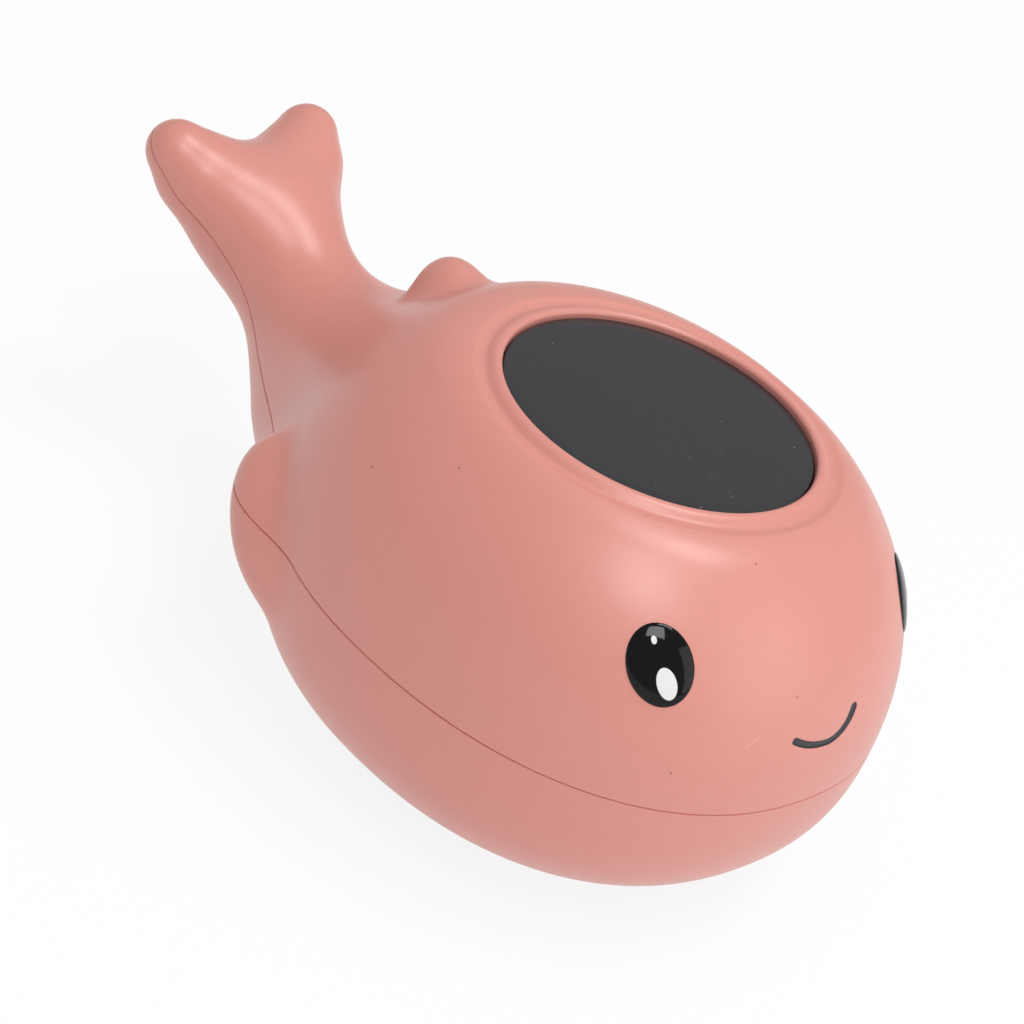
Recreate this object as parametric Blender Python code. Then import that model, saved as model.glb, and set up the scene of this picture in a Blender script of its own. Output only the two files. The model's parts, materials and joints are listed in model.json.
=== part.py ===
"""A whale-shaped digital bath thermometer, at its real size and in metres.

The pieces are laid out from the display: its top face's centre is the origin of the layout, +Y runs to
the tail and +Z is up. One empty then sets the whole thing down on its flat foot.
"""

import math

import bmesh
import bpy
import numpy as np
from mathutils import Matrix, Vector

MM = 0.001

# Fits
GAP = 0.3 * MM
WALL = 2.0 * MM

# Body: an egg with its own half sizes to the nose, tail, crown and belly
BODY_HALF_WIDTH = 33.0 * MM
BODY_TO_NOSE = 35.9 * MM
BODY_TO_REAR = 38.3 * MM
BODY_TO_CROWN = 31.7 * MM
BODY_TO_BELLY = 22.1 * MM
BODY_MIDDLE_Y = 0.2 * MM
EQUATOR_DEPTH = 26.2 * MM
PLAN_POWER = 2.17
SIDE_POWER = 2.27
EGG_FALL = 22.0 * MM
CROWN_LEVEL = 0.93 * MM
CROWN_EASE = 1.5 * MM
FOOT_DEPTH = 47.0 * MM

# Tail: a stem that rises out of the body and forks into two round flukes
TAIL_RISE = math.radians(43.5)
STEM_START_Y = 42.8 * MM
STEM_START_Z = -26.1 * MM
STEM_START_RADIUS = 3.0 * MM
FORK_Y = 61.6 * MM
FORK_Z = -16.7 * MM
FORK_RADIUS = 4.55 * MM
FLUKE_MIDDLE = (8.0 * MM, 7.4 * MM)
FLUKE_MIDDLE_RADIUS = 4.35 * MM
FLUKE_TIP = (10.04 * MM, 9.8 * MM)
FLUKE_TIP_RADIUS = 3.54 * MM
TAIL_BLEND = 24.0 * MM
FORK_BLEND = 9.5 * MM
STEM_BLEND = 2.0 * MM
JOINT_BLEND = 1.2 * MM

# Fins and dorsal nub
FIN_CENTRE = (23.4 * MM, 24.0 * MM, -20.3 * MM)
FIN_HALF = (5.9 * MM, 9.5 * MM, 11.3 * MM)
FIN_SWEEP = math.radians(39.0)
FIN_BLEND = 5.7 * MM
NUB_CENTRE = (0.0, 32.3 * MM, -6.9 * MM)
NUB_HALF = (2.1 * MM, 3.7 * MM, 4.5 * MM)
NUB_BLEND = 3.7 * MM

# Parting line: level round the body, then rising with the tail
PARTING_LEVEL = -24.2 * MM
PARTING_BEND_Y = 46.7 * MM
PARTING_SLOPE = math.tan(math.radians(34.0))
PARTING_EASE = 1.6 * MM
TONGUE_THICKNESS = 1.0 * MM
TONGUE_HEIGHT = 1.8 * MM
TONGUE_ROOT = 3.0 * MM
TONGUE_CLEARANCE = 0.65 * MM

# Display
LENS_RADIUS = 17.5 * MM
LENS_THICKNESS = 1.6 * MM
LIP_RADIUS = 18.25 * MM
LIP_ROUND = 1.2 * MM
LIP_RISE = 0.35 * MM
TAPE_WIDTH = 1.8 * MM
TAPE_THICKNESS = 0.4 * MM
LEDGE_WIDTH = 2.4 * MM
LEDGE_THICKNESS = 2.0 * MM
MODULE_SIZE = (25.0 * MM, 17.0 * MM, 5.6 * MM)
FILM_THICKNESS = 0.25 * MM

# Main board and what it carries
BOARD_THICKNESS = 1.6 * MM
BOSS_CIRCLE = 18.0 * MM
BOSS_RADIUS = 2.2 * MM
BOARD_RIM = 2.6 * MM
BOARD_SCREWS = 3
SCREW_RADIUS = 0.85 * MM
SCREW_HEAD_RADIUS = 1.9 * MM
SCREW_HEAD_HEIGHT = 1.1 * MM
BOARD_SCREW_LENGTH = 5.0 * MM
CHIP_SIZE = (8.0 * MM, 8.0 * MM, 1.2 * MM)
CRYSTAL_RADIUS = 1.0 * MM
CRYSTAL_LENGTH = 6.0 * MM
CAPACITOR_RADIUS = 2.5 * MM
CAPACITOR_HEIGHT = 5.5 * MM

# Two AAA cells in the bay
CELL_RADIUS = 5.25 * MM
CELL_LENGTH = 44.5 * MM
CELL_NUB_RADIUS = 1.9 * MM
CELL_NUB_LENGTH = 1.0 * MM
CELL_SPACE = 0.6 * MM
CELL_TO_FOOT = 13.5 * MM
CONTACT_THICKNESS = 0.4 * MM
CONTACT_HEIGHT = 8.0 * MM
CONTACT_WIDTH = 8.0 * MM
TAB_WIDTH = 2.4 * MM
SPRING_LENGTH = 2.6 * MM
SPRING_WIRE = 0.3 * MM
SPRING_RADIUS = 2.9 * MM
SPRING_TURNS = 3
BAY_MIDDLE_Y = 2.5 * MM
BAY_WALL = 1.2 * MM
BAY_CORNER = 1.5 * MM

# Battery cover
COVER_HALF_WIDTH = 20.0 * MM
COVER_HALF_LENGTH = 28.5 * MM
COVER_POWER = 3.5
COVER_THICKNESS = 1.8 * MM
GASKET_THICKNESS = 0.8 * MM
GASKET_WIDTH = 0.9 * MM
LEDGE_BACKING = 1.6 * MM
COVER_SCREW_X = 16.3 * MM
COVER_SCREW_SEAT = 2.0 * MM
COVER_SCREW_LENGTH = 7.5 * MM
COVER_BOSS_RADIUS = 3.0 * MM

# Probe and water contacts in the belly, towards the tail
PROBE_Y = 38.5 * MM
PROBE_RADIUS = 2.4 * MM
PROBE_WALL = 0.5 * MM
PROBE_LENGTH = 6.5 * MM
PROBE_PROUD = 0.9 * MM
FLANGE_WIDTH = 1.1 * MM
FLANGE_THICKNESS = 0.6 * MM
SEAL_THICKNESS = 0.8 * MM
SEAL_SEAT = 1.4 * MM
PIN_X = 8.5 * MM
PIN_Y = 36.5 * MM
PIN_RADIUS = 1.1 * MM
PIN_HEAD_RADIUS = 1.9 * MM
PIN_HEAD_HEIGHT = 0.7 * MM
PIN_LENGTH = 6.0 * MM
BEAD_RADIUS = 1.2 * MM
LEAD_RADIUS = 0.55 * MM
FINE_LEAD_RADIUS = 0.4 * MM
SENSOR_MIDDLE = -2.9 * MM
SENSOR_PAD = (3.6 * MM, 13.5 * MM)
PIN_PAD = (10.0 * MM, 9.0 * MM)
PIN_TURN = (10.0 * MM, 30.0 * MM, -20.5 * MM)
BATTERY_PAD_Y = 9.5 * MM
BATTERY_LEAD_RISE = 9.0 * MM
SENSOR_LEAD_RISE = 14.0 * MM
PIN_LEAD_RISE = 3.0 * MM
PIN_LEAD_ONWARDS = (0.0, -5.0 * MM, 6.0 * MM)
PAD_DROP = 7.0 * MM

# Face
EYE_CENTRE = (19.5 * MM, -24.8 * MM)
EYE_HEIGHT_Z = -9.6 * MM
EYE_HALF_LONG = 4.31 * MM
EYE_HALF_WIDE = 3.4 * MM
EYE_LEAN = math.radians(34.0)
EYE_DOME = 0.8 * MM
EYE_POCKET = 0.7 * MM
SMILE_LOW = (0.3 * MM, -17.3 * MM)
SMILE_LEFT_RADIUS = 4.1 * MM
SMILE_LEFT_SWEEP = math.radians(72.0)
SMILE_RIGHT_RADIUS = 11.5 * MM
SMILE_RIGHT_SWEEP = math.radians(26.0)
SMILE_LINE = 0.4 * MM

# Mesh counts
RAY_COUNT = 48
NOSE_ROW_COUNT = 8
SPINE_ROW_COUNT = 26
CROWN_CROWDING = 0.4
FORK_ROW_COUNT = 8
HOLLOW_RAY_COUNT = 36
HOLLOW_ROW_COUNT = 18
ROUND_SIDE_COUNT = 48
SMALL_SIDE_COUNT = 20
PATCH_SCALES = (1.0, 0.88, 0.74, 0.55, 0.3)

# Levels that several pieces share
LEDGE_Z = -(LENS_THICKNESS + TAPE_THICKNESS + 2 * GAP)
FILM_TOP = -(LENS_THICKNESS + GAP)
MODULE_TOP = FILM_TOP - FILM_THICKNESS - GAP
BOARD_TOP = MODULE_TOP - MODULE_SIZE[2] - GAP
BOARD_BOTTOM = BOARD_TOP - BOARD_THICKNESS
BORE_RADIUS = LENS_RADIUS + GAP
CELL_AXIS_DEPTH = FOOT_DEPTH - CELL_TO_FOOT
BAY_HALF_WIDTH = 2 * CELL_RADIUS + 1.5 * CELL_SPACE
BAY_HALF_LENGTH = (CELL_LENGTH + SPRING_LENGTH + 2 * CONTACT_THICKNESS + 5 * GAP) / 2
BAY_CEILING = -CELL_AXIS_DEPTH + CELL_RADIUS + GAP
BAY_ROOF = BAY_CEILING + BAY_WALL
GASKET_INSET = COVER_THICKNESS + 1.6 * GAP
SEAT_INSET = GASKET_INSET + GASKET_THICKNESS + GAP


def clear_scene():
    for obj in list(bpy.data.objects):
        bpy.data.objects.remove(obj, do_unlink=True)


def material(name, colour, roughness, metallic=0.0):
    made = bpy.data.materials.new(name)
    made.use_nodes = True
    shader = made.node_tree.nodes["Principled BSDF"]
    shader.inputs["Base Color"].default_value = (*colour, 1.0)
    shader.inputs["Roughness"].default_value = roughness
    shader.inputs["Metallic"].default_value = metallic
    return made


def smooth_min(a, b, blend):
    share = np.clip(0.5 + 0.5 * (b - a) / blend, 0.0, 1.0)
    return b * (1 - share) + a * share - blend * share * (1 - share)


def egg_field(x, y, z, inset):
    """Below zero inside the body's egg, drawn in by the inset."""
    along = y - BODY_MIDDLE_Y
    up = z + EQUATOR_DEPTH
    length = np.where(along < 0, BODY_TO_NOSE, BODY_TO_REAR) - inset
    height = np.where(up < 0, BODY_TO_BELLY, BODY_TO_CROWN) - inset
    side = np.abs(x) / (BODY_HALF_WIDTH - inset)
    plan = (side**PLAN_POWER + np.abs(along / length) ** PLAN_POWER) ** (1 / PLAN_POWER)
    whole = (plan**SIDE_POWER + np.abs(up / height) ** SIDE_POWER) ** (1 / SIDE_POWER)
    egg = (whole - 1) * EGG_FALL
    crown = (z - CROWN_LEVEL + inset) * 0.7
    return -smooth_min(-egg, -crown, CROWN_EASE)


def rod_field(points, start, end, start_radius, end_radius):
    """Distance to a rod whose radius runs from one end's to the other's."""
    span = np.array(end) - np.array(start)
    share = np.clip((points - start) @ span / (span @ span), 0.0, 1.0)
    nearest = np.array(start) + share[..., None] * span
    return np.linalg.norm(points - nearest, axis=-1) - (start_radius + (end_radius - start_radius) * share)


def tail_field(x, y, z, inset):
    """The stem and its two flukes, in the tail's own tilted plane."""
    cosine, sine = math.cos(TAIL_RISE), math.sin(TAIL_RISE)
    along = (y - FORK_Y) * cosine + (z - FORK_Z) * sine
    across = -(y - FORK_Y) * sine + (z - FORK_Z) * cosine
    start_y, start_z = STEM_START_Y - FORK_Y, STEM_START_Z - FORK_Z
    start = (0.0, start_y * cosine + start_z * sine, -start_y * sine + start_z * cosine)
    fork = (0.0, 0.0, 0.0)
    middle = (*FLUKE_MIDDLE, 0.0)
    tip = (*FLUKE_TIP, 0.0)
    radii = [r - inset for r in (STEM_START_RADIUS, FORK_RADIUS, FLUKE_MIDDLE_RADIUS, FLUKE_TIP_RADIUS)]
    stem = rod_field(np.stack([x, along, across], -1), start, fork, radii[0], radii[1])
    flukes = []
    for side in (1, -1):
        points = np.stack([side * np.abs(x), along, across], -1)
        inner = rod_field(points, fork, middle, radii[1], radii[2])
        outer = rod_field(points, middle, tip, radii[2], radii[3])
        flukes.append(smooth_min(inner, outer, JOINT_BLEND))
    return smooth_min(stem, smooth_min(*flukes, FORK_BLEND), STEM_BLEND)


def ellipsoid_field(x, y, z, half):
    near = np.sqrt((x / half[0]) ** 2 + (y / half[1]) ** 2 + (z / half[2]) ** 2) + 1e-9
    steep = np.sqrt((x / half[0] ** 2) ** 2 + (y / half[1] ** 2) ** 2 + (z / half[2] ** 2) ** 2) + 1e-9
    return near * (near - 1) / steep


def whale_field(points, inset=0.0):
    """Below zero inside the whale; the inset draws every part of its skin inwards."""
    x, y, z = points[..., 0], points[..., 1], points[..., 2]
    skin = smooth_min(egg_field(x, y, z, inset), tail_field(x, y, z, inset), TAIL_BLEND)
    out = np.abs(x) - FIN_CENTRE[0]
    back = y - FIN_CENTRE[1]
    cosine, sine = math.cos(FIN_SWEEP), math.sin(FIN_SWEEP)
    fin_half = [half - inset for half in FIN_HALF]
    fin = ellipsoid_field(out * cosine + back * sine, back * cosine - out * sine, z - FIN_CENTRE[2], fin_half)
    skin = smooth_min(skin, fin, FIN_BLEND)
    if inset == 0.0:
        nub = ellipsoid_field(x, y - NUB_CENTRE[1], z - NUB_CENTRE[2], NUB_HALF)
        skin = smooth_min(skin, nub, NUB_BLEND)
    return np.maximum(skin, inset - FOOT_DEPTH - z)


def first_crossing(origins, directions, inset, reach):
    """How far along each ray the field first turns from inside to outside."""
    steps = np.linspace(0.0, reach, 90)
    values = whale_field(origins[:, None] + directions[:, None] * steps[None, :, None], inset)
    first = (values > 0).argmax(axis=1)
    low = steps[np.maximum(first - 1, 0)]
    high = steps[first]
    for _ in range(40):
        middle = (low + high) / 2
        inside = whale_field(origins + directions * middle[:, None], inset) < 0
        low = np.where(inside, middle, low)
        high = np.where(inside, high, middle)
    return (low + high) / 2


def spine_curve(count):
    """Points and directions down the whale's middle, from inside the nose to just short of the notch."""
    rise = np.array([math.cos(TAIL_RISE), math.sin(TAIL_RISE)])
    fork = np.array([FORK_Y, FORK_Z])
    level = -EQUATOR_DEPTH + WALL
    start = np.array([BODY_MIDDLE_Y - 0.4 * BODY_TO_NOSE, level])
    bend = np.array([BODY_MIDDLE_Y + 0.8 * BODY_TO_REAR, level])
    end = fork + rise * FORK_RADIUS / 2
    handle = end - rise * np.linalg.norm(fork - (STEM_START_Y, STEM_START_Z))
    share = np.linspace(0.0, 1.0, count)[:, None]
    rest = 1 - share
    places = rest**3 * start + 3 * rest**2 * share * bend + 3 * rest * share**2 * handle + share**3 * end
    slopes = rest**2 * (bend - start) + 2 * rest * share * (handle - bend) + share**2 * (end - handle)
    return places, slopes / np.linalg.norm(slopes, axis=1)[:, None]


def whale_mesh(inset, around, nose_rows, spine_rows, fork_rows):
    """The whale's skin as rings of rays sent out from its spine, with a pole at the nose and one at the notch."""
    places, slopes = spine_curve(spine_rows)
    rows = [(places[0], slopes[0], -math.pi / 2 * (1 - k / nose_rows)) for k in range(nose_rows)]
    rows += [(place, slope, 0.0) for place, slope in zip(places, slopes)]
    rows += [(places[-1], slopes[-1], math.pi / 2 * k / fork_rows) for k in range(1, fork_rows + 1)]
    origins, directions = [], []
    for row, (place, slope, lean) in enumerate(rows):
        turns = 1 if row in (0, len(rows) - 1) else around
        for k in range(turns):
            even = 2 * math.pi * k / around
            angle = even + CROWN_CROWDING * math.cos(even)
            side = math.cos(angle) * math.cos(lean)
            up = math.sin(angle) * math.cos(lean)
            ahead = math.sin(lean)
            origins.append((0.0, *place))
            directions.append((side, ahead * slope[0] - up * slope[1], ahead * slope[1] + up * slope[0]))
    origins, directions = np.array(origins), np.array(directions)
    reach = 1.5 * max(BODY_HALF_WIDTH, BODY_TO_NOSE, BODY_TO_REAR, BODY_TO_CROWN)
    points = origins + directions * first_crossing(origins, directions, inset, reach)[:, None]
    faces = []
    rings = len(rows) - 2
    last = len(points) - 1
    for k in range(around):
        after = (k + 1) % around
        faces.append((0, 1 + after, 1 + k))
        faces.append((last, 1 + (rings - 1) * around + k, 1 + (rings - 1) * around + after))
        for ring in range(rings - 1):
            low, high = 1 + ring * around, 1 + (ring + 1) * around
            faces.append((low + k, low + after, high + after, high + k))
    return points, faces


def belly_height(x, y, inset=0.0):
    """The height of the whale's underside below each point."""
    x, y = np.atleast_1d(x).astype(float), np.atleast_1d(y).astype(float)
    origins = np.stack([x, y, np.full_like(x, -EQUATOR_DEPTH)], -1)
    downwards = np.tile([0.0, 0.0, -1.0], (len(x), 1))
    return -EQUATOR_DEPTH - first_crossing(origins, downwards, inset, 1.5 * BODY_TO_BELLY)


def skin_frame(x, y, z):
    """A frame on the skin, its Z pointing straight out and its Y as nearly up as it can."""
    step = 0.01 * MM
    place = np.array([x, y, z])
    slope = np.array([float(whale_field(place + step * axis) - whale_field(place - step * axis)) for axis in np.eye(3)])
    out = Vector(slope).normalized()
    side = Vector((0, 0, 1)).cross(out).normalized()
    up = out.cross(side)
    frame = Matrix((side, up, out)).transposed().to_4x4()
    frame.translation = Vector(place)
    return frame


def belly_frame(x, y):
    return skin_frame(x, y, float(belly_height(x, y)[0]))


def add_mesh(name, points, faces, look=None, place=None, smooth=True):
    """A closed mesh object under the whale's frame; with no look it is a cutter."""
    mesh = bpy.data.meshes.new(name)
    mesh.from_pydata([tuple(map(float, point)) for point in points], [], faces)
    work = bmesh.new()
    work.from_mesh(mesh)
    bmesh.ops.recalc_face_normals(work, faces=work.faces)
    work.to_mesh(mesh)
    work.free()
    if smooth:
        mesh.shade_smooth()
        mesh.set_sharp_from_angle(angle=math.radians(35))
    obj = bpy.data.objects.new(name, mesh)
    bpy.context.scene.collection.objects.link(obj)
    obj.parent = bpy.data.objects["whale_frame"]
    if place is not None:
        obj.matrix_local = place
    if look is None:
        obj.hide_render = True
        obj.display_type = "WIRE"
    else:
        mesh.materials.append(look)
    return obj


def turned(name, profile, look=None, place=None, sides=SMALL_SIDE_COUNT, stretch=(1.0, 1.0)):
    """A solid of revolution about Z from (radius, height) points; its flat ends are single faces."""
    flat_start = profile[0][0] == 0.0 and profile[0][1] == profile[1][1]
    flat_end = profile[-1][0] == 0.0 and profile[-1][1] == profile[-2][1]
    hollow = profile[0][0] > 0.0 and profile[-1][0] > 0.0
    profile = profile[int(flat_start) : len(profile) - int(flat_end)]
    points, rings = [], []
    for radius, height in profile:
        turns = 1 if radius == 0.0 else sides
        rings.append(list(range(len(points), len(points) + turns)))
        for k in range(turns):
            angle = 2 * math.pi * k / sides
            points.append((stretch[0] * radius * math.cos(angle), stretch[1] * radius * math.sin(angle), height))
    faces = [tuple(ring) for ring, flat in ((rings[0], flat_start), (rings[-1], flat_end)) if flat]
    pairs = list(zip(rings, rings[1:])) + ([(rings[-1], rings[0])] if hollow else [])
    for low, high in pairs:
        for k in range(sides):
            after = (k + 1) % sides
            corners = [low[k % len(low)], low[after % len(low)], high[after % len(high)], high[k % len(high)]]
            faces.append(tuple(dict.fromkeys(corners)))
    return add_mesh(name, points, faces, look, place)


def cylinder(name, radius, low, high, look=None, place=None, sides=SMALL_SIDE_COUNT):
    return turned(name, [(0.0, low), (radius, low), (radius, high), (0.0, high)], look, place, sides)


def box(name, size, centre, look=None, bevel=0.0):
    """A block with its edges rounded by the bevel."""
    work = bmesh.new()
    bmesh.ops.create_cube(work, size=1.0)
    bmesh.ops.scale(work, vec=size, verts=work.verts)
    bmesh.ops.translate(work, vec=centre, verts=work.verts)
    if bevel:
        bmesh.ops.bevel(work, geom=work.edges[:], offset=bevel, segments=2, profile=0.5, affect="EDGES")
    points = [vertex.co.copy() for vertex in work.verts]
    faces = [tuple(vertex.index for vertex in face.verts) for face in work.faces]
    work.free()
    return add_mesh(name, points, faces, look, smooth=False)


def layered(name, loops, low, high, look=None, closed=True):
    """A solid over nested loops of (x, y), between two heights or surfaces; closed fills the innermost loop."""
    count = len(loops[0])
    flat = [point for loop in loops for point in loop]
    if closed:
        flat.append(tuple(np.mean(loops[-1], axis=0)))
    x, y = np.array(flat).T
    floor = low(x, y) if callable(low) else np.full_like(x, low)
    roof = high(x, y) if callable(high) else np.full_like(x, high)
    points = list(zip(x, y, floor)) + list(zip(x, y, roof))
    up = len(flat)
    faces = []
    for k in range(count):
        after = (k + 1) % count
        faces.append((k, after, up + after, up + k))
        for loop in range(len(loops) - 1):
            outer, inner = loop * count, (loop + 1) * count
            faces.append((outer + k, inner + k, inner + after, outer + after))
            faces.append((up + outer + k, up + outer + after, up + inner + after, up + inner + k))
        last = (len(loops) - 1) * count
        if closed:
            faces.append((last + k, up - 1, last + after))
            faces.append((up + last + k, up + last + after, 2 * up - 1))
        else:
            faces.append((last + after, last + k, up + last + k, up + last + after))
    return add_mesh(name, points, faces, look)


def rectangle_loop(half_x, half_y, corner, per_corner=3, per_side=10):
    """A round-cornered rectangle about the bay's middle, with points along its long sides."""
    loop = []
    for quarter in range(4):
        middle_x = (half_x - corner) * (1 if quarter in (0, 3) else -1)
        middle_y = (half_y - corner) * (1 if quarter in (0, 1) else -1)
        for k in range(per_corner + 1):
            angle = math.pi / 2 * (quarter + k / per_corner)
            loop.append((middle_x + corner * math.cos(angle), BAY_MIDDLE_Y + middle_y + corner * math.sin(angle)))
        if quarter in (1, 3):
            start_x, start_y = loop[-1]
            end_y = 2 * BAY_MIDDLE_Y - start_y
            loop += [(start_x, start_y + (end_y - start_y) * k / per_side) for k in range(1, per_side)]
        else:
            start_x, start_y = loop[-1]
            loop += [(start_x - 2 * start_x * k / 4, start_y) for k in range(1, 4)]
    return loop


def cover_loop(grow, scale=1.0, count=44):
    """The battery cover's full oval, grown by a clearance and then scaled towards its middle."""
    loop = []
    for k in range(count):
        cosine, sine = math.cos(2 * math.pi * k / count), math.sin(2 * math.pi * k / count)
        x = math.copysign(abs(cosine) ** (2 / COVER_POWER), cosine) * (COVER_HALF_WIDTH + grow)
        y = math.copysign(abs(sine) ** (2 / COVER_POWER), sine) * (COVER_HALF_LENGTH + grow)
        loop.append((x * scale, BAY_MIDDLE_Y + y * scale))
    return loop


def belly_at(inset):
    return lambda x, y: belly_height(x, y, inset)


def cut(target, cutter, operation="DIFFERENCE"):
    modifier = target.modifiers.new(f"{operation.lower()}_{cutter.name}", "BOOLEAN")
    modifier.operation = operation
    modifier.solver = "EXACT"
    modifier.object = cutter


def join(target, piece):
    cut(target, piece, "UNION")


def bend(start, start_way, end, end_way, count=14):
    """Points of a curve that leaves each end straight along its own way."""
    near, far = start + start_way, end + end_way
    points = []
    for k in range(count + 1):
        t = k / count
        points.append((1 - t) ** 3 * start + 3 * (1 - t) ** 2 * t * near + 3 * (1 - t) * t**2 * far + t**3 * end)
    return points


def wire(name, points, radius, look, resolution=2):
    """A round wire with flat ends through the points."""
    curve = bpy.data.curves.new(name, "CURVE")
    curve.dimensions = "3D"
    curve.bevel_depth = radius
    curve.bevel_resolution = resolution
    curve.use_fill_caps = True
    spline = curve.splines.new("POLY")
    spline.points.add(len(points) - 1)
    for slot, point in zip(spline.points, points):
        slot.co = (*point, 1.0)
    curve.materials.append(look)
    obj = bpy.data.objects.new(name, curve)
    bpy.context.scene.collection.objects.link(obj)
    obj.parent = bpy.data.objects["whale_frame"]
    return obj


def parting_height(y):
    """The parting surface, seen from the side."""
    past = (y - PARTING_BEND_Y) / PARTING_EASE
    return PARTING_LEVEL + PARTING_SLOPE * PARTING_EASE * math.log1p(math.exp(min(past, 60)))


def parting_cutter(name, above):
    """Everything above or below the parting surface, standing off it by half the seam."""
    reach = 3 * BODY_TO_REAR
    bend = np.linspace(PARTING_BEND_Y - 6 * PARTING_EASE, PARTING_BEND_Y + 6 * PARTING_EASE, 13)
    offset = -GAP / 2 if above else GAP / 2
    line = [(y, parting_height(y) + offset) for y in (-reach, *bend, reach)]
    far = reach if above else -reach
    line += [(reach, far), (-reach, far)]
    points = [(side * reach, y, z) for side in (-1, 1) for y, z in line]
    count = len(line)
    faces = [tuple(range(count)), tuple(range(2 * count - 1, count - 1, -1))]
    faces += [(k, count + k, count + (k + 1) % count, (k + 1) % count) for k in range(count)]
    return add_mesh(name, points, faces, smooth=False)


def seam_ring(name):
    """The lower shell's stepped rim, whose tongue stands inside the upper shell."""
    steps = [
        (WALL - 2 * GAP, -TONGUE_ROOT),
        (WALL - 2 * GAP, -2 * GAP),
        (WALL + TONGUE_CLEARANCE, -2 * GAP),
        (WALL + TONGUE_CLEARANCE, TONGUE_HEIGHT),
        (WALL + TONGUE_CLEARANCE + TONGUE_THICKNESS, TONGUE_HEIGHT),
        (WALL + TONGUE_CLEARANCE + TONGUE_THICKNESS, -TONGUE_ROOT),
    ]
    points = []
    for inset, height in steps:
        for k in range(RAY_COUNT):
            cosine, sine = math.cos(2 * math.pi * k / RAY_COUNT), math.sin(2 * math.pi * k / RAY_COUNT)
            length = (BODY_TO_REAR if sine > 0 else BODY_TO_NOSE) - inset
            x = math.copysign(abs(cosine) ** (2 / PLAN_POWER), cosine) * (BODY_HALF_WIDTH - inset)
            y = math.copysign(abs(sine) ** (2 / PLAN_POWER), sine) * length
            points.append((x, BODY_MIDDLE_Y + y, PARTING_LEVEL + height))
    faces = []
    for step in range(len(steps)):
        low, high = step * RAY_COUNT, (step + 1) % len(steps) * RAY_COUNT
        faces += [(low + k, low + (k + 1) % RAY_COUNT, high + (k + 1) % RAY_COUNT, high + k) for k in range(RAY_COUNT)]
    return add_mesh(name, points, faces)


def shell_blank(name, look):
    """The whole whale's skin, hollowed by a copy drawn in by the wall."""
    skin = add_mesh(name, *whale_mesh(0.0, RAY_COUNT, NOSE_ROW_COUNT, SPINE_ROW_COUNT, FORK_ROW_COUNT), look)
    hollow = add_mesh(f"{name}_hollow", *whale_mesh(WALL, HOLLOW_RAY_COUNT, NOSE_ROW_COUNT, HOLLOW_ROW_COUNT, FORK_ROW_COUNT // 2))
    cut(skin, hollow)
    return skin


def bezel_profile():
    """The raised lip round the lens, its bore and the ledge that carries the lens."""
    steps = 7
    start = math.acos((BORE_RADIUS - LIP_RADIUS) / LIP_ROUND)
    arc = []
    for k in range(steps + 1):
        angle = start * k / steps
        arc.append((LIP_RADIUS + LIP_ROUND * math.cos(angle), LIP_RISE + LIP_ROUND * math.sin(angle)))
    outer = LIP_RADIUS + LIP_ROUND
    inner = BORE_RADIUS - LEDGE_WIDTH
    bottom = LEDGE_Z - LEDGE_THICKNESS
    return [(inner, bottom), (outer, bottom), *arc, (BORE_RADIUS, LEDGE_Z), (inner, LEDGE_Z)]


def boss_places():
    for k in range(BOARD_SCREWS):
        angle = math.pi / 2 + 2 * math.pi * k / BOARD_SCREWS
        yield k + 1, BOSS_CIRCLE * math.cos(angle), BOSS_CIRCLE * math.sin(angle)


def smile_points(count=7):
    """The smile's middle line, laid on the nose: two arcs that meet at its lowest point, seen from the front."""
    low_x, low_z = SMILE_LOW
    right = np.linspace(-SMILE_RIGHT_SWEEP, 0.0, count)
    left = np.linspace(0.0, SMILE_LEFT_SWEEP, count)[1:]
    radius = np.concatenate([np.full(len(right), SMILE_RIGHT_RADIUS), np.full(len(left), SMILE_LEFT_RADIUS)])
    angle = np.concatenate([right, left])
    x = low_x + radius * np.sin(angle)
    z = low_z + radius * (1 - np.cos(angle))
    origins = np.stack([x, np.full_like(x, BODY_MIDDLE_Y), z], -1)
    forwards = np.tile([0.0, -1.0, 0.0], (len(x), 1))
    y = BODY_MIDDLE_Y - first_crossing(origins, forwards, 0.0, 1.5 * BODY_TO_NOSE)
    return [Vector(point) for point in zip(x, y, z)]


def round_groove(name, points, radius, sides=8):
    """A cutter that runs along the points and tapers to round ends."""
    rings = []
    for k, point in enumerate(points):
        ahead = (points[min(k + 1, len(points) - 1)] - points[max(k - 1, 0)]).normalized()
        rings.append((point, ahead, radius))
    for first, sign in ((0, -1), (-1, 1)):
        point, ahead, _ = rings[first]
        extra = [(point + ahead * sign * radius * math.sin(a), ahead, radius * math.cos(a)) for a in (0.6, 1.15)]
        rings = extra[::-1] + rings if sign < 0 else rings + extra
    vertices = []
    for point, ahead, size in rings:
        across = ahead.cross(Vector((0, 1, 0))).normalized()
        other = ahead.cross(across)
        for k in range(sides):
            angle = 2 * math.pi * k / sides
            vertices.append(point + size * (across * math.cos(angle) + other * math.sin(angle)))
    faces = [tuple(range(sides)), tuple(range(len(vertices) - 1, len(vertices) - sides - 1, -1))]
    for ring in range(len(rings) - 1):
        low, high = ring * sides, (ring + 1) * sides
        faces += [(low + k, low + (k + 1) % sides, high + (k + 1) % sides, high + k) for k in range(sides)]
    return add_mesh(name, vertices, faces)


def eye_frame(side):
    """Where a badge sits: on the skin beside the nose, leaning back at the top."""
    x, y = EYE_CENTRE
    origin = np.array([[0.0, BODY_MIDDLE_Y, EYE_HEIGHT_Z]])
    way = np.array([[side * x, y - BODY_MIDDLE_Y, 0.0]])
    way /= np.linalg.norm(way)
    place = (origin + way * first_crossing(origin, way, 0.0, 1.5 * BODY_TO_NOSE)[0])[0]
    return skin_frame(*place) @ Matrix.Rotation(-side * EYE_LEAN, 4, "Z")


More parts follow.
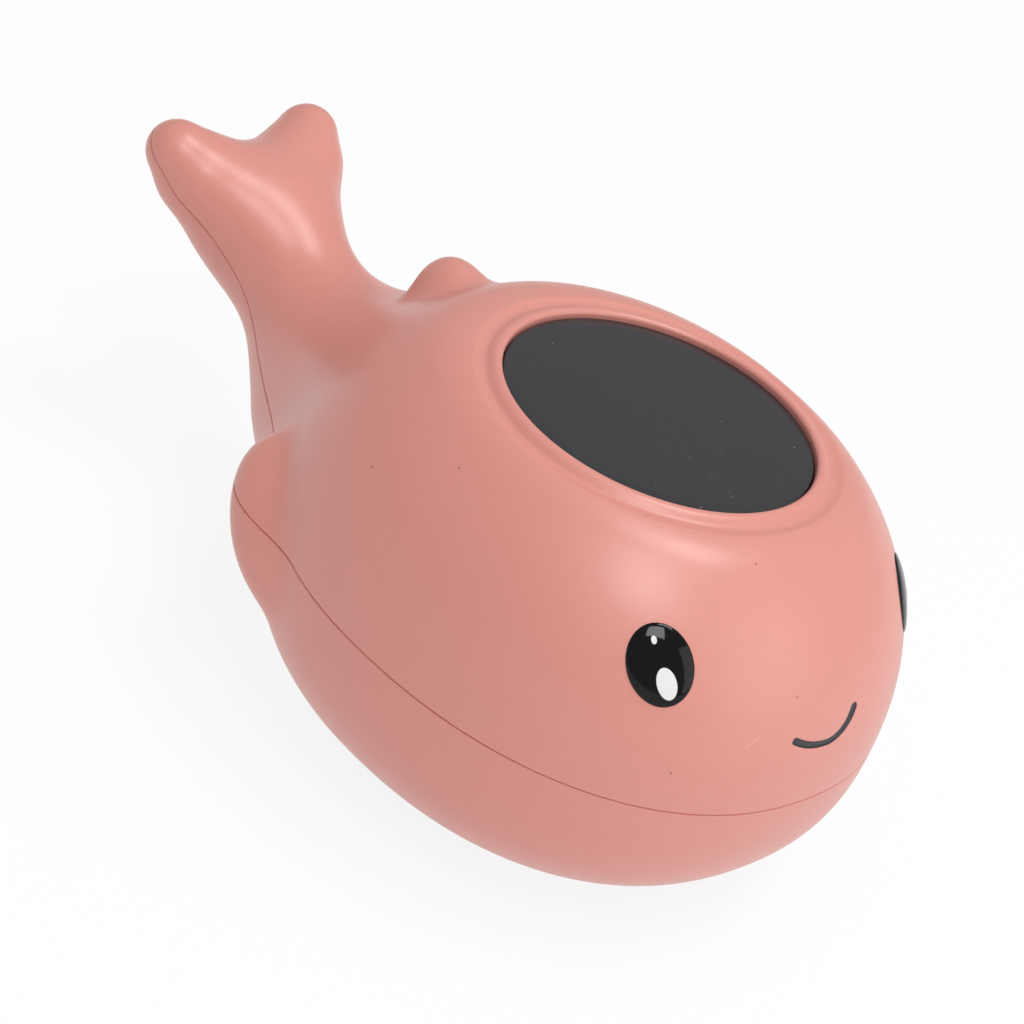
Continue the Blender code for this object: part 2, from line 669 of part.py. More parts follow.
def upper_shell(look):
    shell = shell_blank("upper_shell", look)
    cut(shell, parting_cutter("below_parting", above=False))
    cut(shell, cylinder("display_hole", (BORE_RADIUS + LIP_RADIUS + LIP_ROUND) / 2, -BODY_TO_CROWN / 2,
                        BODY_TO_CROWN / 2, sides=ROUND_SIDE_COUNT))
    join(shell, turned("bezel_ring", bezel_profile(), sides=ROUND_SIDE_COUNT))
    for number, x, y in boss_places():
        place = Matrix.Translation((x, y, 0))
        join(shell, cylinder(f"boss_{number}", BOSS_RADIUS, BOARD_TOP + GAP, LEDGE_Z - LEDGE_THICKNESS / 2, place=place))
        depth = BOARD_SCREW_LENGTH - BOARD_THICKNESS
        cut(shell, cylinder(f"boss_hole_{number}", SCREW_RADIUS + GAP, BOARD_BOTTOM, BOARD_TOP + depth, place=place,
                            sides=12))
    for side, label in ((1, "left"), (-1, "right")):
        rim = [(0.0, -EYE_POCKET), (1.0, -EYE_POCKET), (1.0, 4 * EYE_DOME), (0.0, 4 * EYE_DOME)]
        cut(shell, turned(f"eye_pocket_{label}", rim, place=eye_frame(side), sides=28,
                          stretch=(EYE_HALF_WIDE + GAP / 2, EYE_HALF_LONG + GAP / 2)))
    cut(shell, round_groove("smile_groove", smile_points(), SMILE_LINE))
    return shell


def lower_shell(look):
    shell = shell_blank("lower_shell", look)
    cut(shell, parting_cutter("above_parting", above=True))
    join(shell, seam_ring("seam_rim"))
    half_x, half_y = BAY_HALF_WIDTH, BAY_HALF_LENGTH
    pad = layered("ledge_pad", [cover_loop(LEDGE_BACKING, scale) for scale in PATCH_SCALES],
                  belly_at(WALL / 2), belly_at(SEAT_INSET + LEDGE_BACKING))
    join(shell, pad)
    walls = rectangle_loop(half_x + BAY_WALL, half_y + BAY_WALL, BAY_CORNER + BAY_WALL)
    join(shell, layered("bay_walls", [walls], belly_at(SEAT_INSET + LEDGE_BACKING / 2), BAY_ROOF))
    for side, label in ((1, "left"), (-1, "right")):
        place = Matrix.Translation((side * COVER_SCREW_X, BAY_MIDDLE_Y, 0))
        head = cover_screw_seat() + COVER_THICKNESS
        join(shell, cylinder(f"cover_boss_{label}", COVER_BOSS_RADIUS, head, head + COVER_SCREW_LENGTH, place=place))
        cut(shell, cylinder(f"cover_boss_hole_{label}", SCREW_RADIUS + GAP, head - WALL,
                            cover_screw_seat() + COVER_SCREW_LENGTH + GAP, place=place, sides=12))
        cut(shell, cylinder(f"cover_pad_room_{label}", COVER_BOSS_RADIUS + GAP / 2, -2 * FOOT_DEPTH,
                            cover_screw_seat() + COVER_THICKNESS + GAP, place=place))
    cut(shell, layered("bay_room", [rectangle_loop(half_x, half_y, BAY_CORNER)], -2 * FOOT_DEPTH, BAY_CEILING))
    cut(shell, layered("cover_pocket", [cover_loop(GAP, scale) for scale in PATCH_SCALES],
                       -2 * FOOT_DEPTH, belly_at(SEAT_INSET)))
    for label, x in (("plus", -cell_offset()), ("minus", cell_offset())):
        cut(shell, box(f"tab_slot_{label}", (TAB_WIDTH + 2 * GAP, CONTACT_THICKNESS + 2 * GAP, 4 * BAY_WALL),
                       (x, rear_contact_y(), BAY_CEILING + BAY_WALL / 2)))
    seal_seat(shell, "probe", belly_frame(0.0, PROBE_Y), PROBE_RADIUS)
    for side, label in ((1, "left"), (-1, "right")):
        seal_seat(shell, f"pin_{label}", belly_frame(side * PIN_X, PIN_Y), PIN_RADIUS)
    return shell


def seal_seat(shell, label, place, radius):
    """A hole through the skin with a wider seat for a seal on its inner side."""
    hole, seat = radius + GAP, radius + FLANGE_WIDTH + 2 * GAP
    reach = 4 * WALL
    cut(shell, cylinder(f"{label}_hole", hole, -reach, reach, place=place, sides=16))
    cut(shell, cylinder(f"{label}_seat", seat, -reach, -SEAL_SEAT, place=place, sides=16))


def cell_offset():
    return CELL_RADIUS + CELL_SPACE / 2


def rear_contact_y():
    return BAY_MIDDLE_Y + BAY_HALF_LENGTH - GAP - CONTACT_THICKNESS / 2


def front_contact_y():
    return BAY_MIDDLE_Y - BAY_HALF_LENGTH + GAP + CONTACT_THICKNESS / 2


def cover_screw_seat():
    """The level that a cover screw's head bears on, inside the sloping cover."""
    return float(belly_height(COVER_SCREW_X, BAY_MIDDLE_Y)[0]) + COVER_SCREW_SEAT


def display(lens_look, tape_look, module_look, film_look):
    edge = GAP
    cylinder_profile = [(0.0, -LENS_THICKNESS), (LENS_RADIUS, -LENS_THICKNESS), (LENS_RADIUS, -edge),
                        (LENS_RADIUS - edge, 0.0), (0.0, 0.0)]
    turned("display_lens", cylinder_profile, lens_look, sides=ROUND_SIDE_COUNT)
    outer = BORE_RADIUS - GAP
    top = -LENS_THICKNESS - GAP
    turned("lens_tape", [(outer - TAPE_WIDTH, top), (outer - TAPE_WIDTH, top - TAPE_THICKNESS),
                         (outer, top - TAPE_THICKNESS), (outer, top)], tape_look, sides=ROUND_SIDE_COUNT)
    width, depth, height = MODULE_SIZE
    box("display_module", MODULE_SIZE, (0, 0, MODULE_TOP - height / 2), module_look, bevel=GAP)
    box("segment_film", (width - 4 * GAP, depth - 4 * GAP, FILM_THICKNESS), (0, 0, FILM_TOP - FILM_THICKNESS / 2),
        film_look)


def screw(name, look, place, length):
    """A pan-head screw: its head hangs below the seat and its shank runs up."""
    head = [(0.0, -SCREW_HEAD_HEIGHT), (0.6 * SCREW_HEAD_RADIUS, -SCREW_HEAD_HEIGHT),
            (SCREW_HEAD_RADIUS, -SCREW_HEAD_HEIGHT / 2), (SCREW_HEAD_RADIUS, 0.0)]
    shank = [(SCREW_RADIUS, 0.0), (SCREW_RADIUS, length - SCREW_RADIUS), (0.3 * SCREW_RADIUS, length), (0.0, length)]
    made = turned(name, head + shank, look, place, sides=12)
    slot = box(f"{name}_slot", (3 * SCREW_HEAD_RADIUS, SCREW_RADIUS / 2, SCREW_HEAD_HEIGHT),
               place.translation - Vector((0, 0, SCREW_HEAD_HEIGHT)))
    cut(made, slot)
    return made


def electronics(board_look, chip_look, can_look, sleeve_look, screw_look):
    rim = BOSS_CIRCLE + BOARD_RIM
    board = cylinder("main_board", rim, BOARD_BOTTOM, BOARD_TOP, board_look, sides=ROUND_SIDE_COUNT)
    for number, x, y in boss_places():
        place = Matrix.Translation((x, y, 0))
        cut(board, cylinder(f"board_hole_{number}", SCREW_RADIUS + GAP, BOARD_BOTTOM - GAP, BOARD_TOP + GAP,
                            place=place, sides=12))
        seat = Matrix.Translation((x, y, BOARD_BOTTOM - GAP))
        screw(f"board_screw_{number}", screw_look, seat, BOARD_SCREW_LENGTH - GAP)
    under = BOARD_BOTTOM - GAP
    box("control_chip", CHIP_SIZE, (0, 0, under - CHIP_SIZE[2] / 2), chip_look, bevel=GAP / 2)
    lying = Matrix.Translation((CHIP_SIZE[0], 0, under - CRYSTAL_RADIUS)) @ Matrix.Rotation(math.pi / 2, 4, "X")
    cylinder("timing_crystal", CRYSTAL_RADIUS, -CRYSTAL_LENGTH / 2, CRYSTAL_LENGTH / 2, can_look, lying, sides=16)
    bead = GAP
    can = [(0.0, -CAPACITOR_HEIGHT), (CAPACITOR_RADIUS - bead, -CAPACITOR_HEIGHT),
           (CAPACITOR_RADIUS, bead - CAPACITOR_HEIGHT), (CAPACITOR_RADIUS, -3 * bead),
           (CAPACITOR_RADIUS - bead, -2 * bead), (CAPACITOR_RADIUS, -bead), (CAPACITOR_RADIUS, 0.0), (0.0, 0.0)]
    for number, side in ((1, -1), (2, 1)):
        turned(f"capacitor_{number}", can, sleeve_look,
               Matrix.Translation((-CHIP_SIZE[0] - CAPACITOR_RADIUS, side * 1.6 * CAPACITOR_RADIUS, under)))


def cell(name, x, nub_to_tail, look):
    """An AAA cell lying along Y."""
    length = CELL_LENGTH - CELL_NUB_LENGTH
    edge = 2 * GAP
    profile = [(0.0, 0.0), (CELL_RADIUS - edge, 0.0), (CELL_RADIUS, edge / 2), (CELL_RADIUS, length - edge),
               (CELL_RADIUS - edge, length), (CELL_NUB_RADIUS, length), (CELL_NUB_RADIUS, CELL_LENGTH - GAP / 2),
               (CELL_NUB_RADIUS - GAP / 2, CELL_LENGTH), (0.0, CELL_LENGTH)]
    turn = -math.pi / 2 if nub_to_tail else math.pi / 2
    room = GAP + CONTACT_THICKNESS + GAP + SPRING_LENGTH + GAP
    flat_end = -BAY_HALF_LENGTH + room if nub_to_tail else BAY_HALF_LENGTH - room
    place = Matrix.Translation((x, BAY_MIDDLE_Y + flat_end, -CELL_AXIS_DEPTH)) @ Matrix.Rotation(turn, 4, "X")
    turned(name, profile, look, place, sides=24)


def spring(name, x, at_front, look):
    """A battery spring that narrows towards the cell."""
    way = 1 if at_front else -1
    start = front_contact_y() if at_front else rear_contact_y()
    start += way * (CONTACT_THICKNESS / 2 + GAP + SPRING_WIRE)
    travel = SPRING_LENGTH - 2 * SPRING_WIRE
    count = 12 * SPRING_TURNS
    points = []
    for k in range(count + 1):
        share = k / count
        angle = 2 * math.pi * SPRING_TURNS * share
        radius = SPRING_RADIUS - 0.3 * SPRING_RADIUS * share
        points.append((x + radius * math.cos(angle), start + way * travel * share,
                       -CELL_AXIS_DEPTH + radius * math.sin(angle)))
    wire(name, points, SPRING_WIRE, look, resolution=1)


def contact(name, x, y, look):
    """A contact plate with a solder tab up through the bay's roof."""
    plate = box(name, (CONTACT_WIDTH, CONTACT_THICKNESS, CONTACT_HEIGHT), (x, y, -CELL_AXIS_DEPTH), look)
    tab_top = BAY_ROOF + 2 * GAP
    tab_bottom = -CELL_AXIS_DEPTH
    join(plate, box(f"{name}_tab", (TAB_WIDTH, CONTACT_THICKNESS * 0.8, tab_top - tab_bottom),
                    (x, y, (tab_top + tab_bottom) / 2)))


def power(cell_look, contact_look, spring_look):
    offset = cell_offset()
    cell("battery_right", -offset, True, cell_look)
    cell("battery_left", offset, False, cell_look)
    spring("front_spring", -offset, True, spring_look)
    spring("rear_spring", offset, False, spring_look)
    box("link_contact", (2 * offset + CONTACT_WIDTH, CONTACT_THICKNESS, CONTACT_HEIGHT),
        (0, front_contact_y(), -CELL_AXIS_DEPTH), contact_look)
    contact("plus_contact", -offset, rear_contact_y(), contact_look)
    contact("minus_contact", offset, rear_contact_y(), contact_look)


def battery_cover(cover_look, gasket_look, screw_look):
    cover = layered("battery_cover", [cover_loop(0.0, scale) for scale in PATCH_SCALES], belly_at(0.0),
                    belly_at(COVER_THICKNESS), cover_look)
    seat = cover_screw_seat()
    for side, label in ((1, "left"), (-1, "right")):
        place = Matrix.Translation((side * COVER_SCREW_X, BAY_MIDDLE_Y, 0))
        join(cover, cylinder(f"cover_stud_{label}", COVER_BOSS_RADIUS - GAP, seat - WALL / 2,
                             seat + COVER_THICKNESS - GAP, place=place))
        cut(cover, turned(f"screw_well_{label}", [(0.0, -2 * FOOT_DEPTH), (SCREW_HEAD_RADIUS + GAP, -2 * FOOT_DEPTH),
                                                 (SCREW_HEAD_RADIUS + GAP, seat), (SCREW_RADIUS + GAP, seat),
                                                 (SCREW_RADIUS + GAP, 0.0), (0.0, 0.0)], place=place, sides=16))
        screw(f"cover_screw_{label}", screw_look, Matrix.Translation((side * COVER_SCREW_X, BAY_MIDDLE_Y, seat - GAP)),
              COVER_SCREW_LENGTH)
    loops = [rectangle_loop(BAY_HALF_WIDTH + grow, BAY_HALF_LENGTH + grow, BAY_CORNER + grow)
             for grow in (GAP + GASKET_WIDTH, GAP)]
    layered("cover_gasket", loops, belly_at(GASKET_INSET), belly_at(GASKET_INSET + GASKET_THICKNESS), gasket_look,
            closed=False)


def probe(metal_look, seal_look, bead_look):
    """The closed steel cap that stands in the water, its seal and the bead inside it."""
    frame = belly_frame(0.0, PROBE_Y)
    flange = -SEAL_SEAT - 2 * GAP - SEAL_THICKNESS
    bore = PROBE_RADIUS - PROBE_WALL
    outer = PROBE_RADIUS + FLANGE_WIDTH
    base = -PROBE_LENGTH
    cap = [(0.0, PROBE_PROUD), (0.6 * PROBE_RADIUS, 0.9 * PROBE_PROUD), (0.9 * PROBE_RADIUS, 0.6 * PROBE_PROUD),
           (PROBE_RADIUS, 0.0), (PROBE_RADIUS, flange), (outer, flange), (outer, flange - FLANGE_THICKNESS),
           (PROBE_RADIUS, flange - FLANGE_THICKNESS), (PROBE_RADIUS, base), (bore, base), (bore, -PROBE_WALL),
           (0.5 * bore, 0.0), (0.0, 0.0)]
    turned("probe_cap", cap, metal_look, frame)
    inner = PROBE_RADIUS + GAP
    top = -SEAL_SEAT - GAP
    turned("probe_seal", [(inner, top), (inner, top - SEAL_THICKNESS), (outer, top - SEAL_THICKNESS), (outer, top)],
           seal_look, frame)
    half = 1.2 * BEAD_RADIUS
    arc = [math.pi * k / 8 - math.pi / 2 for k in range(9)]
    bead = [(BEAD_RADIUS * math.cos(a) if 0 < k < 8 else 0.0, SENSOR_MIDDLE + half * math.sin(a)) for k, a in enumerate(arc)]
    turned("sensor_bead", bead, bead_look, frame, sides=14)


def water_pins(metal_look, seal_look):
    for side, label in ((1, "left"), (-1, "right")):
        frame = belly_frame(side * PIN_X, PIN_Y)
        pin = [(0.0, GAP + PIN_HEAD_HEIGHT), (0.6 * PIN_HEAD_RADIUS, GAP + 0.85 * PIN_HEAD_HEIGHT),
               (PIN_HEAD_RADIUS, GAP + 0.3 * PIN_HEAD_HEIGHT), (PIN_HEAD_RADIUS, GAP), (PIN_RADIUS, GAP),
               (PIN_RADIUS, -PIN_LENGTH), (0.0, -PIN_LENGTH)]
        turned(f"water_pin_{label}", pin, metal_look, frame, sides=16)
        inner, outer = PIN_RADIUS + GAP, PIN_RADIUS + FLANGE_WIDTH
        top = -SEAL_SEAT - GAP
        turned(f"pin_seal_{label}", [(inner, top), (inner, top - SEAL_THICKNESS), (outer, top - SEAL_THICKNESS),
                                     (outer, top)], seal_look, frame, sides=16)


def leads(looks):
    """Every wire inside, from its contact up to the underside of the board."""
    board = BOARD_BOTTOM - GAP
    upwards, downwards = Vector((0, 0, BATTERY_LEAD_RISE)), Vector((0, 0, -PAD_DROP))
    for label, side in (("red", -1), ("black", 1)):
        start = Vector((side * cell_offset(), rear_contact_y(), BAY_ROOF + 3 * GAP))
        end = Vector((side * cell_offset(), BATTERY_PAD_Y, board))
        wire(f"battery_lead_{label}", bend(start, upwards, end, downwards), LEAD_RADIUS, looks[label])
    probe_place = belly_frame(0.0, PROBE_Y)
    for label, side in (("left", 1), ("right", -1)):
        apart = Vector((side * 2 * FINE_LEAD_RADIUS, 0, 0))
        start = probe_place @ Vector((0, 0, SENSOR_MIDDLE - 1.2 * BEAD_RADIUS - GAP)) + apart
        inwards = probe_place.to_3x3() @ Vector((0, 0, -SENSOR_LEAD_RISE))
        end = Vector((side * SENSOR_PAD[0], SENSOR_PAD[1], board))
        wire(f"sensor_lead_{label}", bend(start, inwards, end, downwards), FINE_LEAD_RADIUS, looks["white"])
        pin_place = belly_frame(side * PIN_X, PIN_Y)
        start = pin_place @ Vector((0, 0, -PIN_LENGTH - GAP))
        inwards = pin_place.to_3x3() @ Vector((0, 0, -PIN_LEAD_RISE))
        turn = Vector((side * PIN_TURN[0], PIN_TURN[1], PIN_TURN[2]))
        onwards = Vector(PIN_LEAD_ONWARDS)
        end = Vector((side * PIN_PAD[0], PIN_PAD[1], board))
        points = bend(start, inwards, turn, -onwards, 8) + bend(turn, onwards, end, downwards, 10)[1:]
        wire(f"pin_lead_{label}", points, FINE_LEAD_RADIUS, looks["yellow"])


def eyes(look):
    """Domed oval badges, seated in shallow pockets."""
    floor = -EYE_POCKET + GAP
    brim = GAP / 2
    profile = [(0.0, floor), (0.94, floor), (1.0, floor + GAP / 2), (1.0, brim)]
    profile += [(math.cos(a), brim + (EYE_DOME - brim) * math.sin(a)) for a in (0.35, 0.75, 1.15)]
    profile.append((0.0, EYE_DOME))
    for side, label in ((1, "left"), (-1, "right")):
        turned(f"eye_{label}", profile, look, eye_frame(side), sides=28, stretch=(EYE_HALF_WIDE, EYE_HALF_LONG))


def set_down():
    """Centres the whale on the origin and stands it on its foot."""
    bpy.context.view_layer.update()
    skin = bpy.data.objects["upper_shell"].data
    y = [vertex.co.y for vertex in skin.vertices]
    bpy.data.objects["whale_frame"].location = (0.0, -(min(y) + max(y)) / 2, FOOT_DEPTH)


def build():
    clear_scene()
    frame = bpy.data.objects.new("whale_frame", None)
    bpy.context.scene.collection.objects.link(frame)
    pink = material("salmon_plastic", (0.73, 0.30, 0.25), 0.42)
    steel = material("stainless_steel", (0.62, 0.62, 0.63), 0.25, 1.0)
    plated = material("plated_contact", (0.72, 0.70, 0.66), 0.3, 1.0)
    silicone = material("grey_silicone", (0.45, 0.45, 0.46), 0.7)
    black = material("black_plastic", (0.02, 0.02, 0.022), 0.5)
    upper_shell(pink)
    lower_shell(pink)
    display(material("smoked_lens", (0.035, 0.035, 0.04), 0.08), material("foam_tape", (0.03, 0.03, 0.03), 0.9),
            black, material("segment_film", (0.12, 0.12, 0.13), 0.4))
    electronics(material("green_board", (0.03, 0.22, 0.08), 0.45), black,
                material("crystal_can", (0.7, 0.7, 0.71), 0.3, 1.0), material("capacitor_sleeve", (0.02, 0.04, 0.16), 0.4),
                steel)
    power(material("cell_jacket", (0.08, 0.10, 0.12), 0.35), plated, plated)
    battery_cover(pink, silicone, steel)
    probe(steel, silicone, material("sensor_epoxy", (0.05, 0.04, 0.03), 0.35))
    water_pins(steel, silicone)
    leads({"red": material("red_insulation", (0.6, 0.03, 0.02), 0.5),
           "black": material("black_insulation", (0.02, 0.02, 0.02), 0.5),
           "white": material("white_insulation", (0.75, 0.75, 0.72), 0.5),
           "yellow": material("yellow_insulation", (0.75, 0.5, 0.05), 0.5)})
    eyes(material("gloss_black", (0.012, 0.012, 0.013), 0.05))
    set_down()


build()
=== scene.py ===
"""Dresses the whale bath thermometer: fine shells, display, eye badges, smile, finishes, light and camera."""

import json
import logging
import math
from dataclasses import dataclass
from enum import Enum
from functools import reduce
from typing import Callable, Sequence

import bpy
import numpy as np
from mathutils import Matrix, Vector


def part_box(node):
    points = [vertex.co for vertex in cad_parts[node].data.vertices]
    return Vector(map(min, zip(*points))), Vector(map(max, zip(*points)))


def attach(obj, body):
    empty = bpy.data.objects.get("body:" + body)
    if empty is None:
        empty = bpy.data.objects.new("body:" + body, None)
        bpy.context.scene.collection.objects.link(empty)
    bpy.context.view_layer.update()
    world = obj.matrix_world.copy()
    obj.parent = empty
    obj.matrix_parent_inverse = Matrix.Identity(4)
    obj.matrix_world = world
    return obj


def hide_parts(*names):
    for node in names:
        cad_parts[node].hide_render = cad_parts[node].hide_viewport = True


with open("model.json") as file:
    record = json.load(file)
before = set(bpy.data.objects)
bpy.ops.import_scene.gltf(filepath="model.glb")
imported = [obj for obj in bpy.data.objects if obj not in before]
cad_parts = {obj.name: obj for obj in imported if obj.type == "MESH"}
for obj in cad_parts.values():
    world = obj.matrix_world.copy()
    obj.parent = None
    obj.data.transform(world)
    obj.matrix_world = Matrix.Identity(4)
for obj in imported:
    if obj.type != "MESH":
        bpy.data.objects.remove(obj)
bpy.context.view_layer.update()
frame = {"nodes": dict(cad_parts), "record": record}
LOG = logging.getLogger("whale")
MM = 0.001
AXES = np.eye(3)
Array = np.ndarray
Socket = bpy.types.NodeSocket
Colour = tuple[float, float, float]
Place = tuple[float, float, float]
Field = Callable[[Array], Array]


class Side(Enum):
    """The whale's left is +X and its right is -X."""

    LEFT = 1
    RIGHT = -1
def gradient(measure: Field, points: Array, step: float = 0.02 * MM) -> Array:
    """The slope of a measure at points, along X, Y and Z."""
    slopes = [measure(points + step * axis) - measure(points - step * axis) for axis in AXES]
    return np.stack(slopes, -1) / (2 * step)


def unit(ways: Array) -> Array:
    """The same directions, each one long."""
    return ways / np.maximum(np.linalg.norm(ways, axis=-1), 1e-12)[..., None]


def highest(values: "Sequence[Link]") -> "Link":
    """The greatest of several numbers in a material."""
    return reduce(lambda first, second: first.math("MAXIMUM", second), values)
class Link:
    """A number in a material's nodes, which arithmetic can be written with."""

    def __init__(self, shader: "Shader", socket: Socket) -> None:
        """Wraps one output socket."""
        self.shader, self.socket = shader, socket

    def math(self, operation: str, *others: "Link | float", first: bool = True) -> "Link":
        """Adds one Math node.

        Args:
            operation: the node's operation.
            others: the other operands.
            first: whether this value is the first operand.

        Returns:
            The node's result.
        """
        values = [self, *others] if first else [*others, self]
        return self.shader.value("ShaderNodeMath", {"operation": operation}, dict(enumerate(values)))

    def __add__(self, other: "Link | float") -> "Link":
        """This plus the other."""
        return self.math("ADD", other)

    __radd__ = __add__

    def __sub__(self, other: "Link | float") -> "Link":
        """This minus the other."""
        return self.math("SUBTRACT", other)

    def __rsub__(self, other: "Link | float") -> "Link":
        """The other minus this."""
        return self.math("SUBTRACT", other, first=False)

    def __mul__(self, other: "Link | float") -> "Link":
        """This times the other."""
        return self.math("MULTIPLY", other)

    __rmul__ = __mul__

    def __truediv__(self, other: "Link | float") -> "Link":
        """This over the other."""
        return self.math("DIVIDE", other)

    def __rtruediv__(self, other: "Link | float") -> "Link":
        """The other over this."""
        return self.math("DIVIDE", other, first=False)

    def below(self, level: float, soft: float) -> "Link":
        """One where this lies below the level, and zero a soft width above it."""
        ramp = {0: self, 1: level, 2: level + soft, 3: 1.0, 4: 0.0}
        return self.shader.value("ShaderNodeMapRange", {"interpolation_type": "SMOOTHSTEP"}, ramp)


class Nodes:
    """A node tree under construction."""

    def __init__(self, tree: bpy.types.NodeTree) -> None:
        """Takes the tree to build in."""
        self.tree = tree

    def node(self, kind: str, settings: dict | None = None, inputs: dict | None = None) -> bpy.types.Node:
        """Adds any node.

        Args:
            kind: the node's type.
            settings: its own settings, set before its sockets.
            inputs: values, links or lists of links, by the sockets' names or numbers.

        Returns:
            The node.
        """
        made = self.tree.nodes.new(kind)
        for key, setting in (settings or {}).items():
            setattr(made, key, setting)
        for key, given in (inputs or {}).items():
            for one in given if isinstance(given, list) else [given]:
                self.feed(made.inputs[key], one)
        return made

    def feed(self, socket: Socket, given: "Link | Socket | float | Sequence[float]") -> None:
        """Links a value to a socket, or writes a plain number or colour on it.

        Args:
            socket: the socket.
            given: the value.
        """
        if isinstance(given, Link):
            given = given.socket
        if isinstance(given, bpy.types.NodeSocket):
            self.tree.links.new(given, socket)
        else:
            socket.default_value = given


class Shader(Nodes):
    """A material under construction: one Principled shader and the nodes that feed it."""

    def __init__(self, name: str) -> None:
        """Makes the empty material.

        Args:
            name: the material's name.
        """
        self.material = bpy.data.materials.new(name)
        self.material.use_nodes = True
        super().__init__(self.material.node_tree)
        self.principled = self.tree.nodes["Principled BSDF"]
        self.coords = self.node("ShaderNodeTexCoord").outputs

    def value(self, kind: str, settings: dict | None = None, inputs: dict | None = None,
              out: int | str = 0) -> Link:
        """Adds a node and wraps one of its outputs."""
        return Link(self, self.node(kind, settings, inputs).outputs[out])

    def point(self) -> Socket:
        """The place on the piece, in metres."""
        return self.coords["Object"]

    def axes(self, kind: str = "Object") -> tuple[Link, Link, Link]:
        """The three coordinates of one kind, as numbers."""
        split = self.node("ShaderNodeSeparateXYZ", inputs={0: self.coords[kind]})
        return tuple(Link(self, split.outputs[k]) for k in range(3))

    def noise(self, size: float, detail: float = 2.0, rough: float = 0.5,
              stretch: Place | None = None) -> Link:
        """Noise between 0 and 1, with lumps about as large as the size in metres.

        Args:
            size: the lumps' size.
            detail: how many finer layers it has.
            rough: how strong they are.
            stretch: the scale along each axis.

        Returns:
            The noise.
        """
        where = self.point()
        if stretch:
            where = self.node("ShaderNodeMapping", inputs={"Vector": where, "Scale": stretch}).outputs[0]
        inputs = {"Vector": where, "Scale": 1 / size, "Detail": detail, "Roughness": rough}
        return self.value("ShaderNodeTexNoise", {"noise_dimensions": "3D"}, inputs, "Fac")

    def mix(self, factor: "Link | float", low: "Link | Colour", high: "Link | Colour") -> Link:
        """Mixes two colours.

        Args:
            factor: the share of the second.
            low: the first.
            high: the second.

        Returns:
            The mixed colour.
        """
        made = self.node("ShaderNodeMix", {"data_type": "RGBA"})
        self.feed(made.inputs[0], factor)
        for slot, given in ((6, low), (7, high)):
            self.feed(made.inputs[slot], given if isinstance(given, Link) else (*given, 1.0))
        return Link(self, made.outputs[2])

    def near(self, place: Sequence[float], radius: float, soft: float) -> Link:
        """One within the radius of a place, and zero a soft width further out."""
        ends = {0: self.point(), 1: place}
        return self.value("ShaderNodeVectorMath", {"operation": "DISTANCE"}, ends, "Value").below(radius, soft)

    def bump(self, height: Link, depth: float, strength: float = 1.0) -> None:
        """Feeds a bump of the given depth in metres to the surface's normal."""
        made = self.node("ShaderNodeBump", inputs={"Height": height, "Distance": depth, "Strength": strength})
        self.feed(self.principled.inputs["Normal"], made.outputs[0])

    def set(self, **values: "Link | float | Sequence[float]") -> None:
        """Feeds the shader's own sockets, with spaces in their names written as underscores."""
        for key, given in values.items():
            self.feed(self.principled.inputs[key.replace("_", " ")], given)


@dataclass(frozen=True)
class MouldedPlastic:
    """Satin plastic with a faint mottle, a fine grain and a few specks and scratches."""

    name: str
    colour: Colour
    roughness: float = 0.4
    grain: float = 0.008 * MM
    specular: float = 0.5
    specks: tuple[Place, ...] = ()
    scratch: tuple[Place, Place] | None = None
    soft: float = 0.0
    speck_radius: float = 0.1 * MM
    speck_colour: Colour = (0.16, 0.03, 0.03)
    speck_strength: float = 0.55
    scratch_radius: float = 0.04 * MM
    scratch_colour: Colour = (0.93, 0.70, 0.64)
    scratch_strength: float = 0.28
    scratch_dots: int = 7

    def shade(self, shader: Shader) -> Link:
        """The plastic's colour.

        Args:
            shader: the material to build in.

        Returns:
            The colour before any paint.
        """
        broad, fine = shader.noise(22 * MM, 2), shader.noise(1.6 * MM, 3)
        darker = tuple(0.94 * c for c in self.colour)
        lighter = tuple(min(1.0, 1.05 * c) for c in self.colour)
        colour = shader.mix(0.35 * broad + 0.3 * fine + 0.2, darker, lighter)
        for place in self.specks:
            speck = shader.near(place, self.speck_radius, 0.08 * MM)
            colour = shader.mix(speck * self.speck_strength, colour, self.speck_colour)
        if self.scratch:
            start, end = (np.array(place) for place in self.scratch)
            for share in np.linspace(0, 1, self.scratch_dots):
                dot = shader.near(tuple(start + (end - start) * share), self.scratch_radius, 0.12 * MM)
                colour = shader.mix(dot * self.scratch_strength, colour, self.scratch_colour)
        return colour

    def build(self) -> bpy.types.Material:
        """The finished material.

        Returns:
            The material.
        """
        shader = Shader(self.name)
        self.finish(shader, self.shade(shader))
        return shader.material

    def finish(self, shader: Shader, colour: Link) -> None:
        """Sets the gloss and grain round a colour.

        Args:
            shader: the material to build in.
            colour: the colour.
        """
        uneven = shader.noise(7 * MM, 3)
        shader.set(Base_Color=colour, Specular_IOR_Level=self.specular)
        shader.set(Roughness=self.roughness + 0.08 * (uneven - 0.5))
        if self.soft:
            shader.set(Subsurface_Weight=self.soft, Subsurface_Radius=(1.0, 0.35, 0.25))
            shader.set(Subsurface_Scale=1.2 * MM)
        shader.bump(shader.noise(0.5 * MM, 2), self.grain, 0.35)


